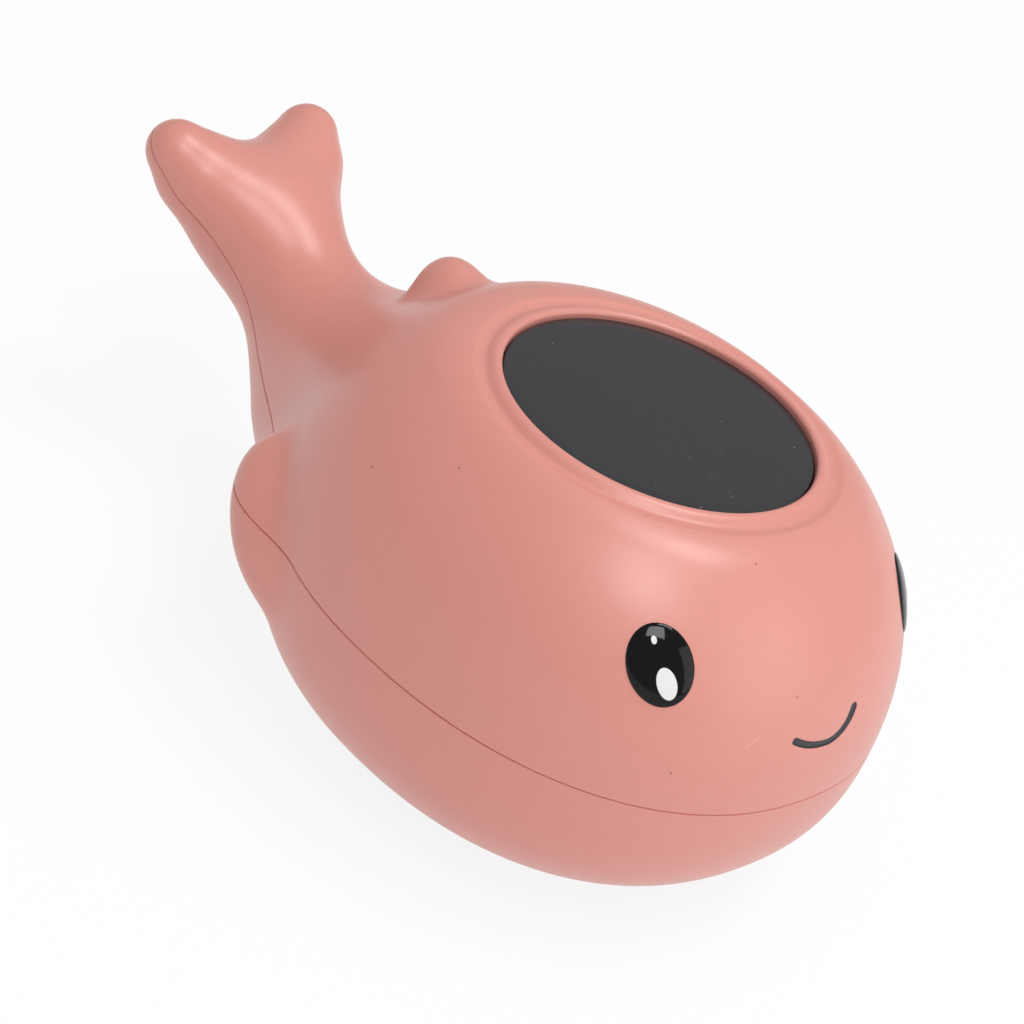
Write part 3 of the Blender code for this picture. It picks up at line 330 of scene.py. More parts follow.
@dataclass(frozen=True)
class BareMetal:
    """Turned or stamped metal with fine lines and a few duller patches."""

    name: str
    colour: tuple[float, float, float]
    roughness: float = 0.28

    def build(self) -> bpy.types.Material:
        """The finished material.

        Returns:
            The material.
        """
        shader = Shader(self.name)
        lines = shader.noise(0.5 * MM, 3, 0.6, (1.0, 1.0, 9.0))
        dull = shader.noise(2.5 * MM, 3)
        colour = shader.mix(0.5 * lines + 0.4 * dull, tuple(0.8 * c for c in self.colour), self.colour)
        shader.set(Base_Color=colour, Metallic=1.0, Roughness=self.roughness + 0.15 * (dull - 0.4))
        shader.bump(lines, 0.006 * MM, 0.4)
        return shader.material


@dataclass(frozen=True)
class Rubber:
    """Matte rubber, foam or wire insulation."""

    name: str
    colour: tuple[float, float, float]
    pore: float = 0.3 * MM
    depth: float = 0.02 * MM

    def build(self) -> bpy.types.Material:
        """The finished material.

        Returns:
            The material.
        """
        shader = Shader(self.name)
        pores, broad = shader.noise(self.pore, 3, 0.65), shader.noise(4 * MM, 2)
        darker = tuple(0.7 * c for c in self.colour)
        shader.set(Base_Color=shader.mix(0.6 * pores + 0.4 * broad, darker, self.colour))
        shader.set(Roughness=0.62 + 0.2 * pores, Specular_IOR_Level=0.35)
        shader.bump(pores, self.depth, 0.5)
        return shader.material


@dataclass(frozen=True)
class CircuitBoard:
    """Green varnish over copper tracks, with bare pads."""

    name: str = "board_varnish"

    def build(self) -> bpy.types.Material:
        """The finished material.

        Returns:
            The material.
        """
        shader = Shader(self.name)
        kind = {"distance": "MANHATTAN", "feature": "DISTANCE_TO_EDGE"}
        inputs = {"Vector": shader.point(), "Scale": 1 / (2.6 * MM)}
        tracks = shader.value("ShaderNodeTexVoronoi", kind, inputs, "Distance").below(0.05, 0.03)
        weave = shader.noise(0.4 * MM, 2)
        colour = shader.mix(0.5 * weave, (0.012, 0.11, 0.035), (0.02, 0.17, 0.05))
        colour = shader.mix(tracks * 0.6, colour, (0.06, 0.30, 0.10))
        shader.set(Base_Color=colour, Roughness=0.32 + 0.1 * weave, Coat_Weight=0.3)
        shader.bump(tracks, 0.03 * MM, 0.6)
        return shader.material


@dataclass(frozen=True)
class CellJacket:
    """A cell's shrink sleeve: a dark body with a copper-coloured band at one end."""

    name: str = "cell_sleeve"
    band_end: float = 0.0

    def build(self) -> bpy.types.Material:
        """The finished material.

        Returns:
            The material.
        """
        shader = Shader(self.name)
        _, y, _ = shader.axes()
        band = y.below(self.band_end, 0.2 * MM)
        flecks = shader.noise(0.25 * MM, 3, 0.7)
        colour = shader.mix(band, (0.015, 0.018, 0.024), (0.48, 0.20, 0.07))
        colour = shader.mix(0.25 * flecks, colour, (0.30, 0.30, 0.32))
        shader.set(Base_Color=colour, Roughness=0.24 + 0.16 * flecks, Metallic=0.35 * band)
        shader.bump(shader.noise(6 * MM, 2, 0.5, (1.0, 0.2, 1.0)), 0.05 * MM, 0.3)
        return shader.material


@dataclass(frozen=True)
class Arc:
    """One stretch of the smile, seen from the front: an arc that starts at the smile's lowest point."""

    low: tuple[float, float]
    side: Side
    radius: float
    sweep: float
    swell: float
    reach: float = 5.0 * MM

    @property
    def hub(self) -> tuple[float, float]:
        """The arc's own centre, in the layout's X and Z."""
        return (self.low[0], self.low[1] + self.radius)

    @property
    def end(self) -> tuple[float, float]:
        """The arc's far end, in the layout's X and Z."""
        return (self.hub[0] + self.side.value * self.radius * math.sin(self.sweep),
                self.hub[1] - self.radius * math.cos(self.sweep))

    def distance(self, points: Array) -> Array:
        """How far each point lies from the arc, seen from the front.

        Args:
            points: the points.

        Returns:
            The distances.
        """
        x, z = points[:, 0] - self.hub[0], points[:, 2] - self.hub[1]
        turn = np.arctan2(self.side.value * x, -z)
        along = np.abs(np.hypot(x, z) - self.radius)
        tips = [np.hypot(points[:, 0] - a, points[:, 2] - b) for a, b in (self.low, self.end)]
        swell = 1 + self.swell * np.clip((points[:, 0] - self.low[0]) / self.reach, 0, 1)
        return np.where((turn > 0) & (turn < self.sweep), along, np.minimum(*tips)) / swell

    def mask(self, shader: Shader, origin: Vector, line: float, soft: float) -> Link:
        """One on the painted line, for a material.

        Args:
            shader: the material.
            origin: where the layout stands in the world.
            line: the line's half width.
            soft: the width of its soft edge.

        Returns:
            One on the line and zero beside it.
        """
        x, _, z = shader.axes()
        across, up = (x - (self.hub[0] + origin.x)) * self.side.value, z - (self.hub[1] + origin.z)
        far = (across * across + up * up).math("SQRT")
        start = origin.x + self.low[0]
        grown = {0: x, 1: start, 2: start + self.reach, 3: 1.0, 4: 1.0 + self.swell}
        swell = shader.value("ShaderNodeMapRange", {}, grown)
        ring = ((far - self.radius).math("ABSOLUTE") / swell).below(line, soft)
        sector = (1 - (0 - up / far).below(math.cos(self.sweep), 0.0005)) * across.math("GREATER_THAN", 0.0)
        aside, above = x - (self.end[0] + origin.x), z - (self.end[1] + origin.z)
        dot = ((aside * aside + above * above).math("SQRT") / swell).below(line, soft)
        return (ring * sector).math("MAXIMUM", dot)


@dataclass(frozen=True)
class Smile:
    """The smile: a shallow painted groove whose left half curls up more than its right half."""

    low: tuple[float, float] = (0.3 * MM, -17.3 * MM)
    radii: tuple[float, float] = (4.1 * MM, 11.5 * MM)
    sweeps: tuple[float, float] = (math.radians(72.0), math.radians(26.0))
    line: float = 0.39 * MM
    swell: float = 0.62
    depth: float = 0.26 * MM
    soft: float = 0.04 * MM
    paint: tuple[float, float, float] = (0.010, 0.012, 0.018)

    def arcs(self) -> list[Arc]:
        """The two stretches."""
        return [Arc(self.low, side, radius, sweep, self.swell)
                for side, radius, sweep in zip(Side, self.radii, self.sweeps)]

    def distance(self, points: Array) -> Array:
        """How far each point lies from the smile's middle line, seen from the front."""
        return np.where(points[:, 1] < 0, np.minimum(*[arc.distance(points) for arc in self.arcs()]), 1.0)

    def mask(self, shader: Shader, origin: Vector) -> Link:
        """One on the painted line, for the shell's material.

        Args:
            shader: the material.
            origin: where the layout stands in the world.

        Returns:
            One on the line and zero beside it.
        """
        _, y, _ = shader.axes()
        left, right = (arc.mask(shader, origin, self.line, self.soft) for arc in self.arcs())
        return left.math("MAXIMUM", right) * y.below(origin.y - 20 * MM, 1 * MM)


@dataclass(frozen=True)
class WhaleForm:
    """The whale's outer form, laid out from the centre of the display's top face."""

    half_width: float = 32.70 * MM
    to_nose: float = 37.56 * MM
    to_rear: float = 35.01 * MM
    to_crown: float = 30.73 * MM
    to_belly: float = 23.01 * MM
    middle_y: float = 1.93 * MM
    equator: float = 24.85 * MM
    plan_powers: tuple[float, float] = (2.21, 2.06)
    side_powers: tuple[float, float] = (2.51, 2.24)
    fall: float = 22.0 * MM
    crown_level: float = 0.54 * MM
    crown_slope: float = 0.7
    crown_blend: float = 1.5 * MM
    foot: float = 47.0 * MM
    foot_blend: float = 0.4 * MM
    tail_rise: float = math.radians(45.8)
    stem_start: tuple[float, float] = (43.84 * MM, -26.24 * MM)
    fork: tuple[float, float] = (62.18 * MM, -16.63 * MM)
    stem_radii: tuple[float, float] = (3.11 * MM, 3.01 * MM)
    fluke_middle: tuple[float, float, float] = (8.50 * MM, 7.31 * MM, 3.62 * MM)
    fluke_tip: tuple[float, float, float] = (10.16 * MM, 9.61 * MM, 3.27 * MM)
    fluke_blend: float = 1.2 * MM
    tail_blend: float = 26.96 * MM
    fork_blend: float = 13.97 * MM
    stem_blend: float = 5.18 * MM
    fin_centre: tuple[float, float, float] = (25.30 * MM, 23.55 * MM, -26.20 * MM)
    fin_half: tuple[float, float, float] = (4.60 * MM, 3.90 * MM, 8.50 * MM)
    fin_sweep: float = 0.43
    fin_pitch: float = -1.05
    fin_blend: float = 4.40 * MM
    nub_centre: tuple[float, float] = (32.33 * MM, -6.19 * MM)
    nub_half: tuple[float, float, float] = (3.07 * MM, 3.40 * MM, 3.76 * MM)
    nub_blend: float = 3.23 * MM
    parting: float = -24.6 * MM
    bend_y: float = 48.5 * MM
    slope: float = math.tan(math.radians(36.2))
    ease: float = 2.2 * MM
    lip_radius: float = 18.2 * MM
    lip_round: float = 0.8 * MM
    lip_level: float = -0.20 * MM
    lip_depth: float = 4.0 * MM
    lip_blend: float = 0.6 * MM
    trough_radius: float = 19.75 * MM
    trough_half: float = 1.3 * MM
    trough_depth: float = 0.26 * MM

    @staticmethod
    def blend(a: Array, b: Array, size: float) -> Array:
        """The lesser of two fields, rounded where they meet."""
        share = np.clip(0.5 + 0.5 * (b - a) / size, 0.0, 1.0)
        return b * (1 - share) + a * share - size * share * (1 - share)

    @staticmethod
    def rod(points: Array, start: Sequence[float], end: Sequence[float], radii: tuple[float, float]) -> Array:
        """Distance to a rod whose radius runs from one end's to the other's.

        Args:
            points: the points.
            start: the rod's start.
            end: its end.
            radii: its radius at the start and at the end.

        Returns:
            How far outside the rod each point lies.
        """
        span = np.array(end) - np.array(start)
        share = np.clip((points - start) @ span / (span @ span), 0.0, 1.0)
        nearest = np.array(start) + share[..., None] * span
        return np.linalg.norm(points - nearest, axis=-1) - (radii[0] + (radii[1] - radii[0]) * share)

    @staticmethod
    def lump(x: Array, y: Array, z: Array, half: Sequence[float]) -> Array:
        """A near distance to an ellipsoid.

        Args:
            x: how far across each point lies from its middle.
            y: how far back it lies.
            z: how high it lies.
            half: the ellipsoid's half sizes.

        Returns:
            About how far outside each point lies, below zero inside.
        """
        near = np.sqrt((x / half[0]) ** 2 + (y / half[1]) ** 2 + (z / half[2]) ** 2) + 1e-9
        steep = np.sqrt((x / half[0] ** 2) ** 2 + (y / half[1] ** 2) ** 2 + (z / half[2] ** 2) ** 2) + 1e-9
        return near * (near - 1) / steep

    def egg(self, x: Array, y: Array, z: Array) -> Array:
        """The body's egg, with its crown levelled for the display.

        Args:
            x: how far across each point lies.
            y: how far back it lies.
            z: how high it lies.

        Returns:
            About how far outside each point lies, below zero inside.
        """
        along, up = y - self.middle_y, z + self.equator
        length = np.where(along < 0, self.to_nose, self.to_rear)
        height = np.where(up < 0, self.to_belly, self.to_crown)
        plan_power = np.where(along < 0, *self.plan_powers)
        side_power = np.where(up < 0, *self.side_powers)
        plan = np.abs(x / self.half_width) ** plan_power + np.abs(along / length) ** plan_power + 1e-12
        whole = plan ** (side_power / plan_power) + np.abs(up / height) ** side_power
        egg = (whole ** (1 / side_power) - 1) * self.fall
        return -self.blend(-egg, -(z - self.crown_level) * self.crown_slope, self.crown_blend)

    def tail(self, x: Array, y: Array, z: Array) -> Array:
        """The stem and its two flukes.

        Args:
            x: how far across each point lies.
            y: how far back it lies.
            z: how high it lies.

        Returns:
            About how far outside each point lies, below zero inside.
        """
        cosine, sine = math.cos(self.tail_rise), math.sin(self.tail_rise)
        back, up = y - self.fork[0], z - self.fork[1]
        along, across = back * cosine + up * sine, -back * sine + up * cosine
        start = (self.stem_start[0] - self.fork[0], self.stem_start[1] - self.fork[1])
        root = (0.0, start[0] * cosine + start[1] * sine, -start[0] * sine + start[1] * cosine)
        stem = self.rod(np.stack([x, along, across], -1), root, (0.0, 0.0, 0.0), self.stem_radii)
        flukes = []
        for side in Side:
            points = np.stack([side.value * np.abs(x), along, across], -1)
            middle, tip = (*self.fluke_middle[:2], 0.0), (*self.fluke_tip[:2], 0.0)
            inner = self.rod(points, (0.0, 0.0, 0.0), middle, (self.stem_radii[1], self.fluke_middle[2]))
            outer = self.rod(points, middle, tip, (self.fluke_middle[2], self.fluke_tip[2]))
            flukes.append(self.blend(inner, outer, self.fluke_blend))
        return self.blend(stem, self.blend(*flukes, self.fork_blend), self.stem_blend)

    def fin(self, x: Array, y: Array, z: Array) -> Array:
        """The two side fins, swept outwards and leaning back.

        Args:
            x: how far across each point lies.
            y: how far back it lies.
            z: how high it lies.

        Returns:
            About how far outside each point lies, below zero inside.
        """
        out, back, up = np.abs(x) - self.fin_centre[0], y - self.fin_centre[1], z - self.fin_centre[2]
        cosine, sine = math.cos(self.fin_sweep), math.sin(self.fin_sweep)
        out, back = out * cosine + back * sine, back * cosine - out * sine
        cosine, sine = math.cos(self.fin_pitch), math.sin(self.fin_pitch)
        return self.lump(out, back * cosine + up * sine, up * cosine - back * sine, self.fin_half)

    def skin(self, points: Array) -> Array:
        """Below zero inside the whale, with its foot flat but without the display's lip.

        Args:
            points: the points.

        Returns:
            About how far outside each point lies, below zero inside.
        """
        x, y, z = points[..., 0], points[..., 1], points[..., 2]
        field_value = self.blend(self.egg(x, y, z), self.tail(x, y, z), self.tail_blend)
        field_value = self.blend(field_value, self.fin(x, y, z), self.fin_blend)
        nub = self.lump(x, y - self.nub_centre[0], z - self.nub_centre[1], self.nub_half)
        field_value = self.blend(field_value, nub, self.nub_blend)
        return -self.blend(-field_value, self.foot + z, self.foot_blend)

    def lipped(self, points: Array) -> Array:
        """The skin joined to the raised lip round the display, with a shallow trough outside it.

        Args:
            points: the points.

        Returns:
            About how far outside each point lies, below zero inside.
        """
        span = np.hypot(points[..., 0], points[..., 1])
        high = np.maximum(np.abs(points[..., 2] - self.lip_level + self.lip_depth) - self.lip_depth, 0)
        drum = np.hypot(np.maximum(span - self.lip_radius, 0), high) - self.lip_round
        share = np.clip(1 - ((span - self.trough_radius) / self.trough_half) ** 2, 0, 1)
        return self.blend(self.skin(points) + self.trough_depth * share**2, drum, self.lip_blend)

    def normals(self, points: Array, shape: Field | None = None) -> Array:
        """Unit normals of the skin, or of another shape, at points on it."""
        return unit(gradient(shape or self.skin, points))

    def crossing(self, origins: Array, ways: Array, reach: float, shape: Field | None = None,
                 samples: int = 44) -> Array:
        """How far along each ray the form first ends.

        Args:
            origins: where the rays start, inside.
            ways: their directions.
            reach: how far they go.
            shape: another shape than the skin.
            samples: how many steps a ray is tried at.

        Returns:
            The distances.
        """
        shape = shape or self.skin
        steps = np.linspace(0.0, reach, samples)
        values = np.stack([shape(origins + ways * step) for step in steps], 1)
        first = (values > 0).argmax(axis=1)
        low, high = steps[np.maximum(first - 1, 0)], steps[first]
        for _ in range(26):
            middle = (low + high) / 2
            inside = shape(origins + ways * middle[:, None]) < 0
            low, high = np.where(inside, middle, low), np.where(inside, high, middle)
        return (low + high) / 2

    def settle(self, points: Array) -> Array:
        """Moves points that lie near the skin onto it.

        Args:
            points: the points.

        Returns:
            The points on the skin.
        """
        for _ in range(3):
            slopes = gradient(self.skin, points)
            points = points - slopes * (self.skin(points) / (slopes**2).sum(-1))[:, None]
        return points

    def above_parting(self, points: Array) -> Array:
        """How far each point lies above the parting line, along the skin's side.

        Args:
            points: the points.

        Returns:
            The distances.
        """
        past = np.minimum((points[:, 1] - self.bend_y) / self.ease, 60)
        height = self.parting + self.slope * self.ease * np.log1p(np.exp(past))
        lean = self.slope / (1 + np.exp(-past))
        return (points[:, 2] - height) / np.sqrt(1 + lean**2)


class Skin:
    """A fine triangle mesh of the whale's skin that can be cut along lines drawn on it."""

    reach = 60 * MM
    nose_share, rear_share = 0.4, 0.8

    def __init__(self, form: WhaleForm, around: int, nose: int, along: int, fork: int) -> None:
        """Sends rays out from the whale's spine and joins the points where they leave the skin.

        Args:
            form: the whale's form.
            around: how many rays go round the spine.
            nose: how many rings close the nose.
            along: how many rings stand along the spine.
            fork: how many rings close the tail.
        """
        self.form = form
        places, ways = self.spine(form, along)
        leans = np.concatenate([-math.pi / 2 * (1 - np.arange(nose) / nose), np.zeros(along),
                                math.pi / 2 * np.arange(1, fork + 1) / fork])
        rows = np.concatenate([np.zeros(nose, int), np.arange(along), np.full(fork, along - 1)])
        angle = 2 * math.pi * np.arange(around) / around
        side, up = np.outer(np.cos(leans), np.cos(angle)), np.outer(np.cos(leans), np.sin(angle))
        ahead = np.sin(leans)[:, None] + 0 * side
        way_y, way_z = ways[rows, 0][:, None], ways[rows, 1][:, None]
        rays = np.stack([side, ahead * way_y - up * way_z, ahead * way_z + up * way_y], -1)
        origins = np.zeros_like(rays)
        origins[..., 1], origins[..., 2] = places[rows, 0][:, None], places[rows, 1][:, None]
        rays, origins = (np.concatenate([grid[:1, 0], grid[1:-1].reshape(-1, 3), grid[-1:, 0]])
                         for grid in (rays, origins))
        self.points = origins + rays * form.crossing(origins, rays, self.reach)[:, None]
        self.faces = self.sheets(len(leans) - 2, around)
        self.face_outwards()

    def spine(self, form: WhaleForm, along: int) -> tuple[Array, Array]:
        """A curve inside the whale, from behind the nose to the tail's fork.

        Args:
            form: the whale's form.
            along: how many places to give.

        Returns:
            The places, in Y and Z, and the curve's directions there.
        """
        rise = np.array([math.cos(form.tail_rise), math.sin(form.tail_rise)])
        start = np.array([form.middle_y - self.nose_share * form.to_nose, form.parting])
        bend = np.array([form.middle_y + self.rear_share * form.to_rear, form.parting])
        end = np.array(form.fork) + rise * form.stem_radii[1] / 2
        handle = end - rise * np.linalg.norm(np.subtract(form.fork, form.stem_start))
        share = np.linspace(0, 1, along)[:, None]
        rest = 1 - share
        places = rest**3 * start + 3 * rest**2 * share * bend + 3 * rest * share**2 * handle + share**3 * end
        ways = rest**2 * (bend - start) + 2 * rest * share * (handle - bend) + share**2 * (end - handle)
        return places, unit(ways)

    @staticmethod
    def sheets(rings: int, around: int) -> Array:
        """Joins rings of points, with one more point before and after them.

        Args:
            rings: how many rings there are.
            around: how many points each ring has.

        Returns:
            The triangles.
        """
        grid = 1 + np.arange(rings * around).reshape(rings, around)
        after = np.roll(grid, -1, axis=1)
        low, low_next, high, high_next = grid[:-1], after[:-1], grid[1:], after[1:]
        first, last = 0 * grid[0], 0 * grid[0] + rings * around + 1
        sheets = [(low, low_next, high_next), (low, high_next, high), (first, after[0], grid[0]),
                  (last, grid[-1], after[-1])]
        return np.concatenate([np.stack(sheet, -1).reshape(-1, 3) for sheet in sheets])

    def face_outwards(self) -> None:
        """Turns every triangle over if the mesh is inside out."""
        corners = self.points[self.faces]
        if np.einsum("ij,ij->i", corners[:, 0], np.cross(corners[:, 1], corners[:, 2])).sum() < 0:
            self.faces = self.faces[:, ::-1]

    def split(self, chosen: Callable[[Array, Array], tuple[Array, Array]]) -> None:
        """Splits edges in two.

        Args:
            chosen: takes the edges' two end points, and returns which to split and how far along.
        """
        faces = self.faces
        edges = np.sort(np.concatenate([faces[:, [0, 1]], faces[:, [1, 2]], faces[:, [2, 0]]]), axis=1)
        unique, index = np.unique(edges, axis=0, return_inverse=True)
        mask, share = chosen(self.points[unique[:, 0]], self.points[unique[:, 1]])
        start, end = self.points[unique[mask, 0]], self.points[unique[mask, 1]]
        added = start + (end - start) * share[mask][:, None]
        place = np.full(len(unique), -1)
        place[mask] = len(self.points) + np.arange(mask.sum())
        self.points = np.concatenate([self.points, self.form.settle(added)])
        new = place[index.reshape(3, -1)].T
        count = (new >= 0).sum(1)
        kept = [faces[count == 0]]
        for turns in range(3):
            a, b, c = (np.roll(faces, -turns, axis=1)[:, k] for k in range(3))
            ab, bc, ca = (np.roll(new, -turns, axis=1)[:, k] for k in range(3))
            one = (count == 1) & (ab >= 0)
            kept += [np.stack([a, ab, c], -1)[one], np.stack([ab, b, c], -1)[one]]
            two = (count == 2) & (bc < 0)
            kept += [np.stack(t, -1)[two] for t in ((a, ab, ca), (ab, b, c), (ab, c, ca))]
            if turns == 0:
                all_three = count == 3
                parts = ((a, ab, ca), (ab, b, bc), (ca, bc, c), (ab, bc, ca))
                kept += [np.stack(t, -1)[all_three] for t in parts]
        self.faces = np.concatenate(kept)

    def refine(self, wanted: Field, size: float) -> None:
        """Halves the edges longer than the size wherever their middles are wanted.

        Args:
            wanted: tells which places are wanted.
            size: the longest edge to leave.
        """
        def longer(start: Array, end: Array) -> tuple[Array, Array]:
            """The edges to halve."""
            mask = (np.linalg.norm(end - start, axis=1) > size) & wanted((start + end) / 2)
            return mask, np.full(len(start), 0.5)

        for _ in range(4):
            self.split(longer)

    def rule(self, measure: Field, levels: Sequence[float]) -> None:
        """Draws a line of edges wherever the measure equals each level.

        Args:
            measure: the measure.
            levels: its levels.
        """
        for level in levels:
            def crossed(start: Array, end: Array) -> tuple[Array, Array]:
                """The edges that the line crosses, and where."""
                a, b = measure(start) - level, measure(end) - level
                mask = (a > 0) != (b > 0)
                gap = np.where(mask, a - b, 1.0)
                return mask, np.clip(a / gap, 0.02, 0.98)

            self.split(crossed)

    def rim(self, measure: Field) -> Array:
        """The open edge along the measure's zero, as points in order with the opening on the right.

        Args:
            measure: the measure.

        Returns:
            The points' numbers.
        """
        edges = np.concatenate([self.faces[:, [0, 1]], self.faces[:, [1, 2]], self.faces[:, [2, 0]]])
        code = edges[:, 0] * len(self.points) + edges[:, 1]
        single = edges[~np.isin(code, edges[:, 1] * len(self.points) + edges[:, 0])]
        single = single[np.abs(measure(self.points[single[:, 0]])) < 0.5 * MM]
        after = dict(single.tolist())
        loop = [int(single[0, 0])]
        while after[loop[-1]] != loop[0]:
            loop.append(after[loop[-1]])
        return np.array(loop)

    def middles(self) -> Array:
        """The triangles' middles."""
        return self.points[self.faces].mean(1)

    def cut(self, measure: Field) -> None:
        """Draws the measure's zero line and takes out what lies below zero."""
        self.rule(measure, [0.0])
        self.faces = self.faces[measure(self.middles()) > 0]


@dataclass
class Groove:
    """A narrow rounded groove along a line on the skin."""

    measure: Field
    depth: float
    width: float
    squareness: float = 2.0
    steps: tuple[float, ...] = (0.0, 0.35, 0.7, 1.05, 1.45, 2.2)

    def sink(self, points: Array) -> Array:
        """How deep the groove is at each point."""
        widths = np.minimum(np.abs(self.measure(points)) / self.width, 9)
        return self.depth * np.exp(-(widths**self.squareness))

    def levels(self) -> list[float]:
        """Where the skin needs lines of edges, from one brink to the other."""
        return sorted({sign * step * self.width for step in self.steps for sign in (-1, 1)})


def make_piece(name: str, points: Array, faces: Sequence, material: bpy.types.Material, origin: Vector,
               normals: Array | None = None, uvs: Array | None = None) -> bpy.types.Object:
    """Adds a smooth mesh piece.

    Args:
        name: the piece's name.
        points: its points, in the layout from the display.
        faces: its polygons.
        material: its finish.
        origin: where the layout stands in the world.
        normals: its points' normals, where they are known better than from the faces.
        uvs: a pair of numbers for each point, for patterns that follow the piece.

    Returns:
        The new object.
    """
    points = np.asarray(points, float)
    faces = [tuple(int(k) for k in face) for face in faces]
    used = np.unique([k for face in faces for k in face])
    renumber = np.full(len(points), -1)
    renumber[used] = np.arange(len(used))
    mesh = bpy.data.meshes.new(name)
    mesh.from_pydata((points[used] + np.array(origin)).tolist(), [], [tuple(renumber[list(f)]) for f in faces])
    mesh.shade_smooth()
    if uvs is not None:
        layer = mesh.uv_layers.new(name="UVMap")
        corners = np.empty(len(mesh.loops), np.int32)
        mesh.loops.foreach_get("vertex_index", corners)
        layer.data.foreach_set("uv", np.asarray(uvs, np.float32)[used][corners].ravel())
    if normals is not None:
        mesh.normals_split_custom_set_from_vertices(np.asarray(normals, float)[used].tolist())
    mesh.materials.append(material)
    made = bpy.data.objects.new(name, mesh)
    bpy.context.scene.collection.objects.link(made)
    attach(made, "root")
    return made


def lathe(profile: Sequence[tuple[float, float]], sides: int, flip: bool = False) -> tuple[Array, list]:
    """Points and faces of a profile of (radius, height) turned about Z, closed at poles on the axis.

    Args:
        profile: the profile.
        sides: how many sides it gets.
        flip: whether the faces are turned over.

    Returns:
        The points and the faces.
    """
    points, rings = [], []
    for radius, height in profile:
        turns = 1 if radius == 0.0 else sides
        rings.append(list(range(len(points), len(points) + turns)))
        angles = [2 * math.pi * k / sides for k in range(turns)]
        points += [(radius * math.cos(a), radius * math.sin(a), height) for a in angles]
    faces = []
    for low, high in zip(rings, rings[1:]):
        for k in range(sides):
            after = (k + 1) % sides
            corners = [low[k % len(low)], low[after % len(low)], high[after % len(high)], high[k % len(high)]]
            face = tuple(dict.fromkeys(corners))
            faces.append(face[::-1] if flip else face)
    return np.array(points), faces


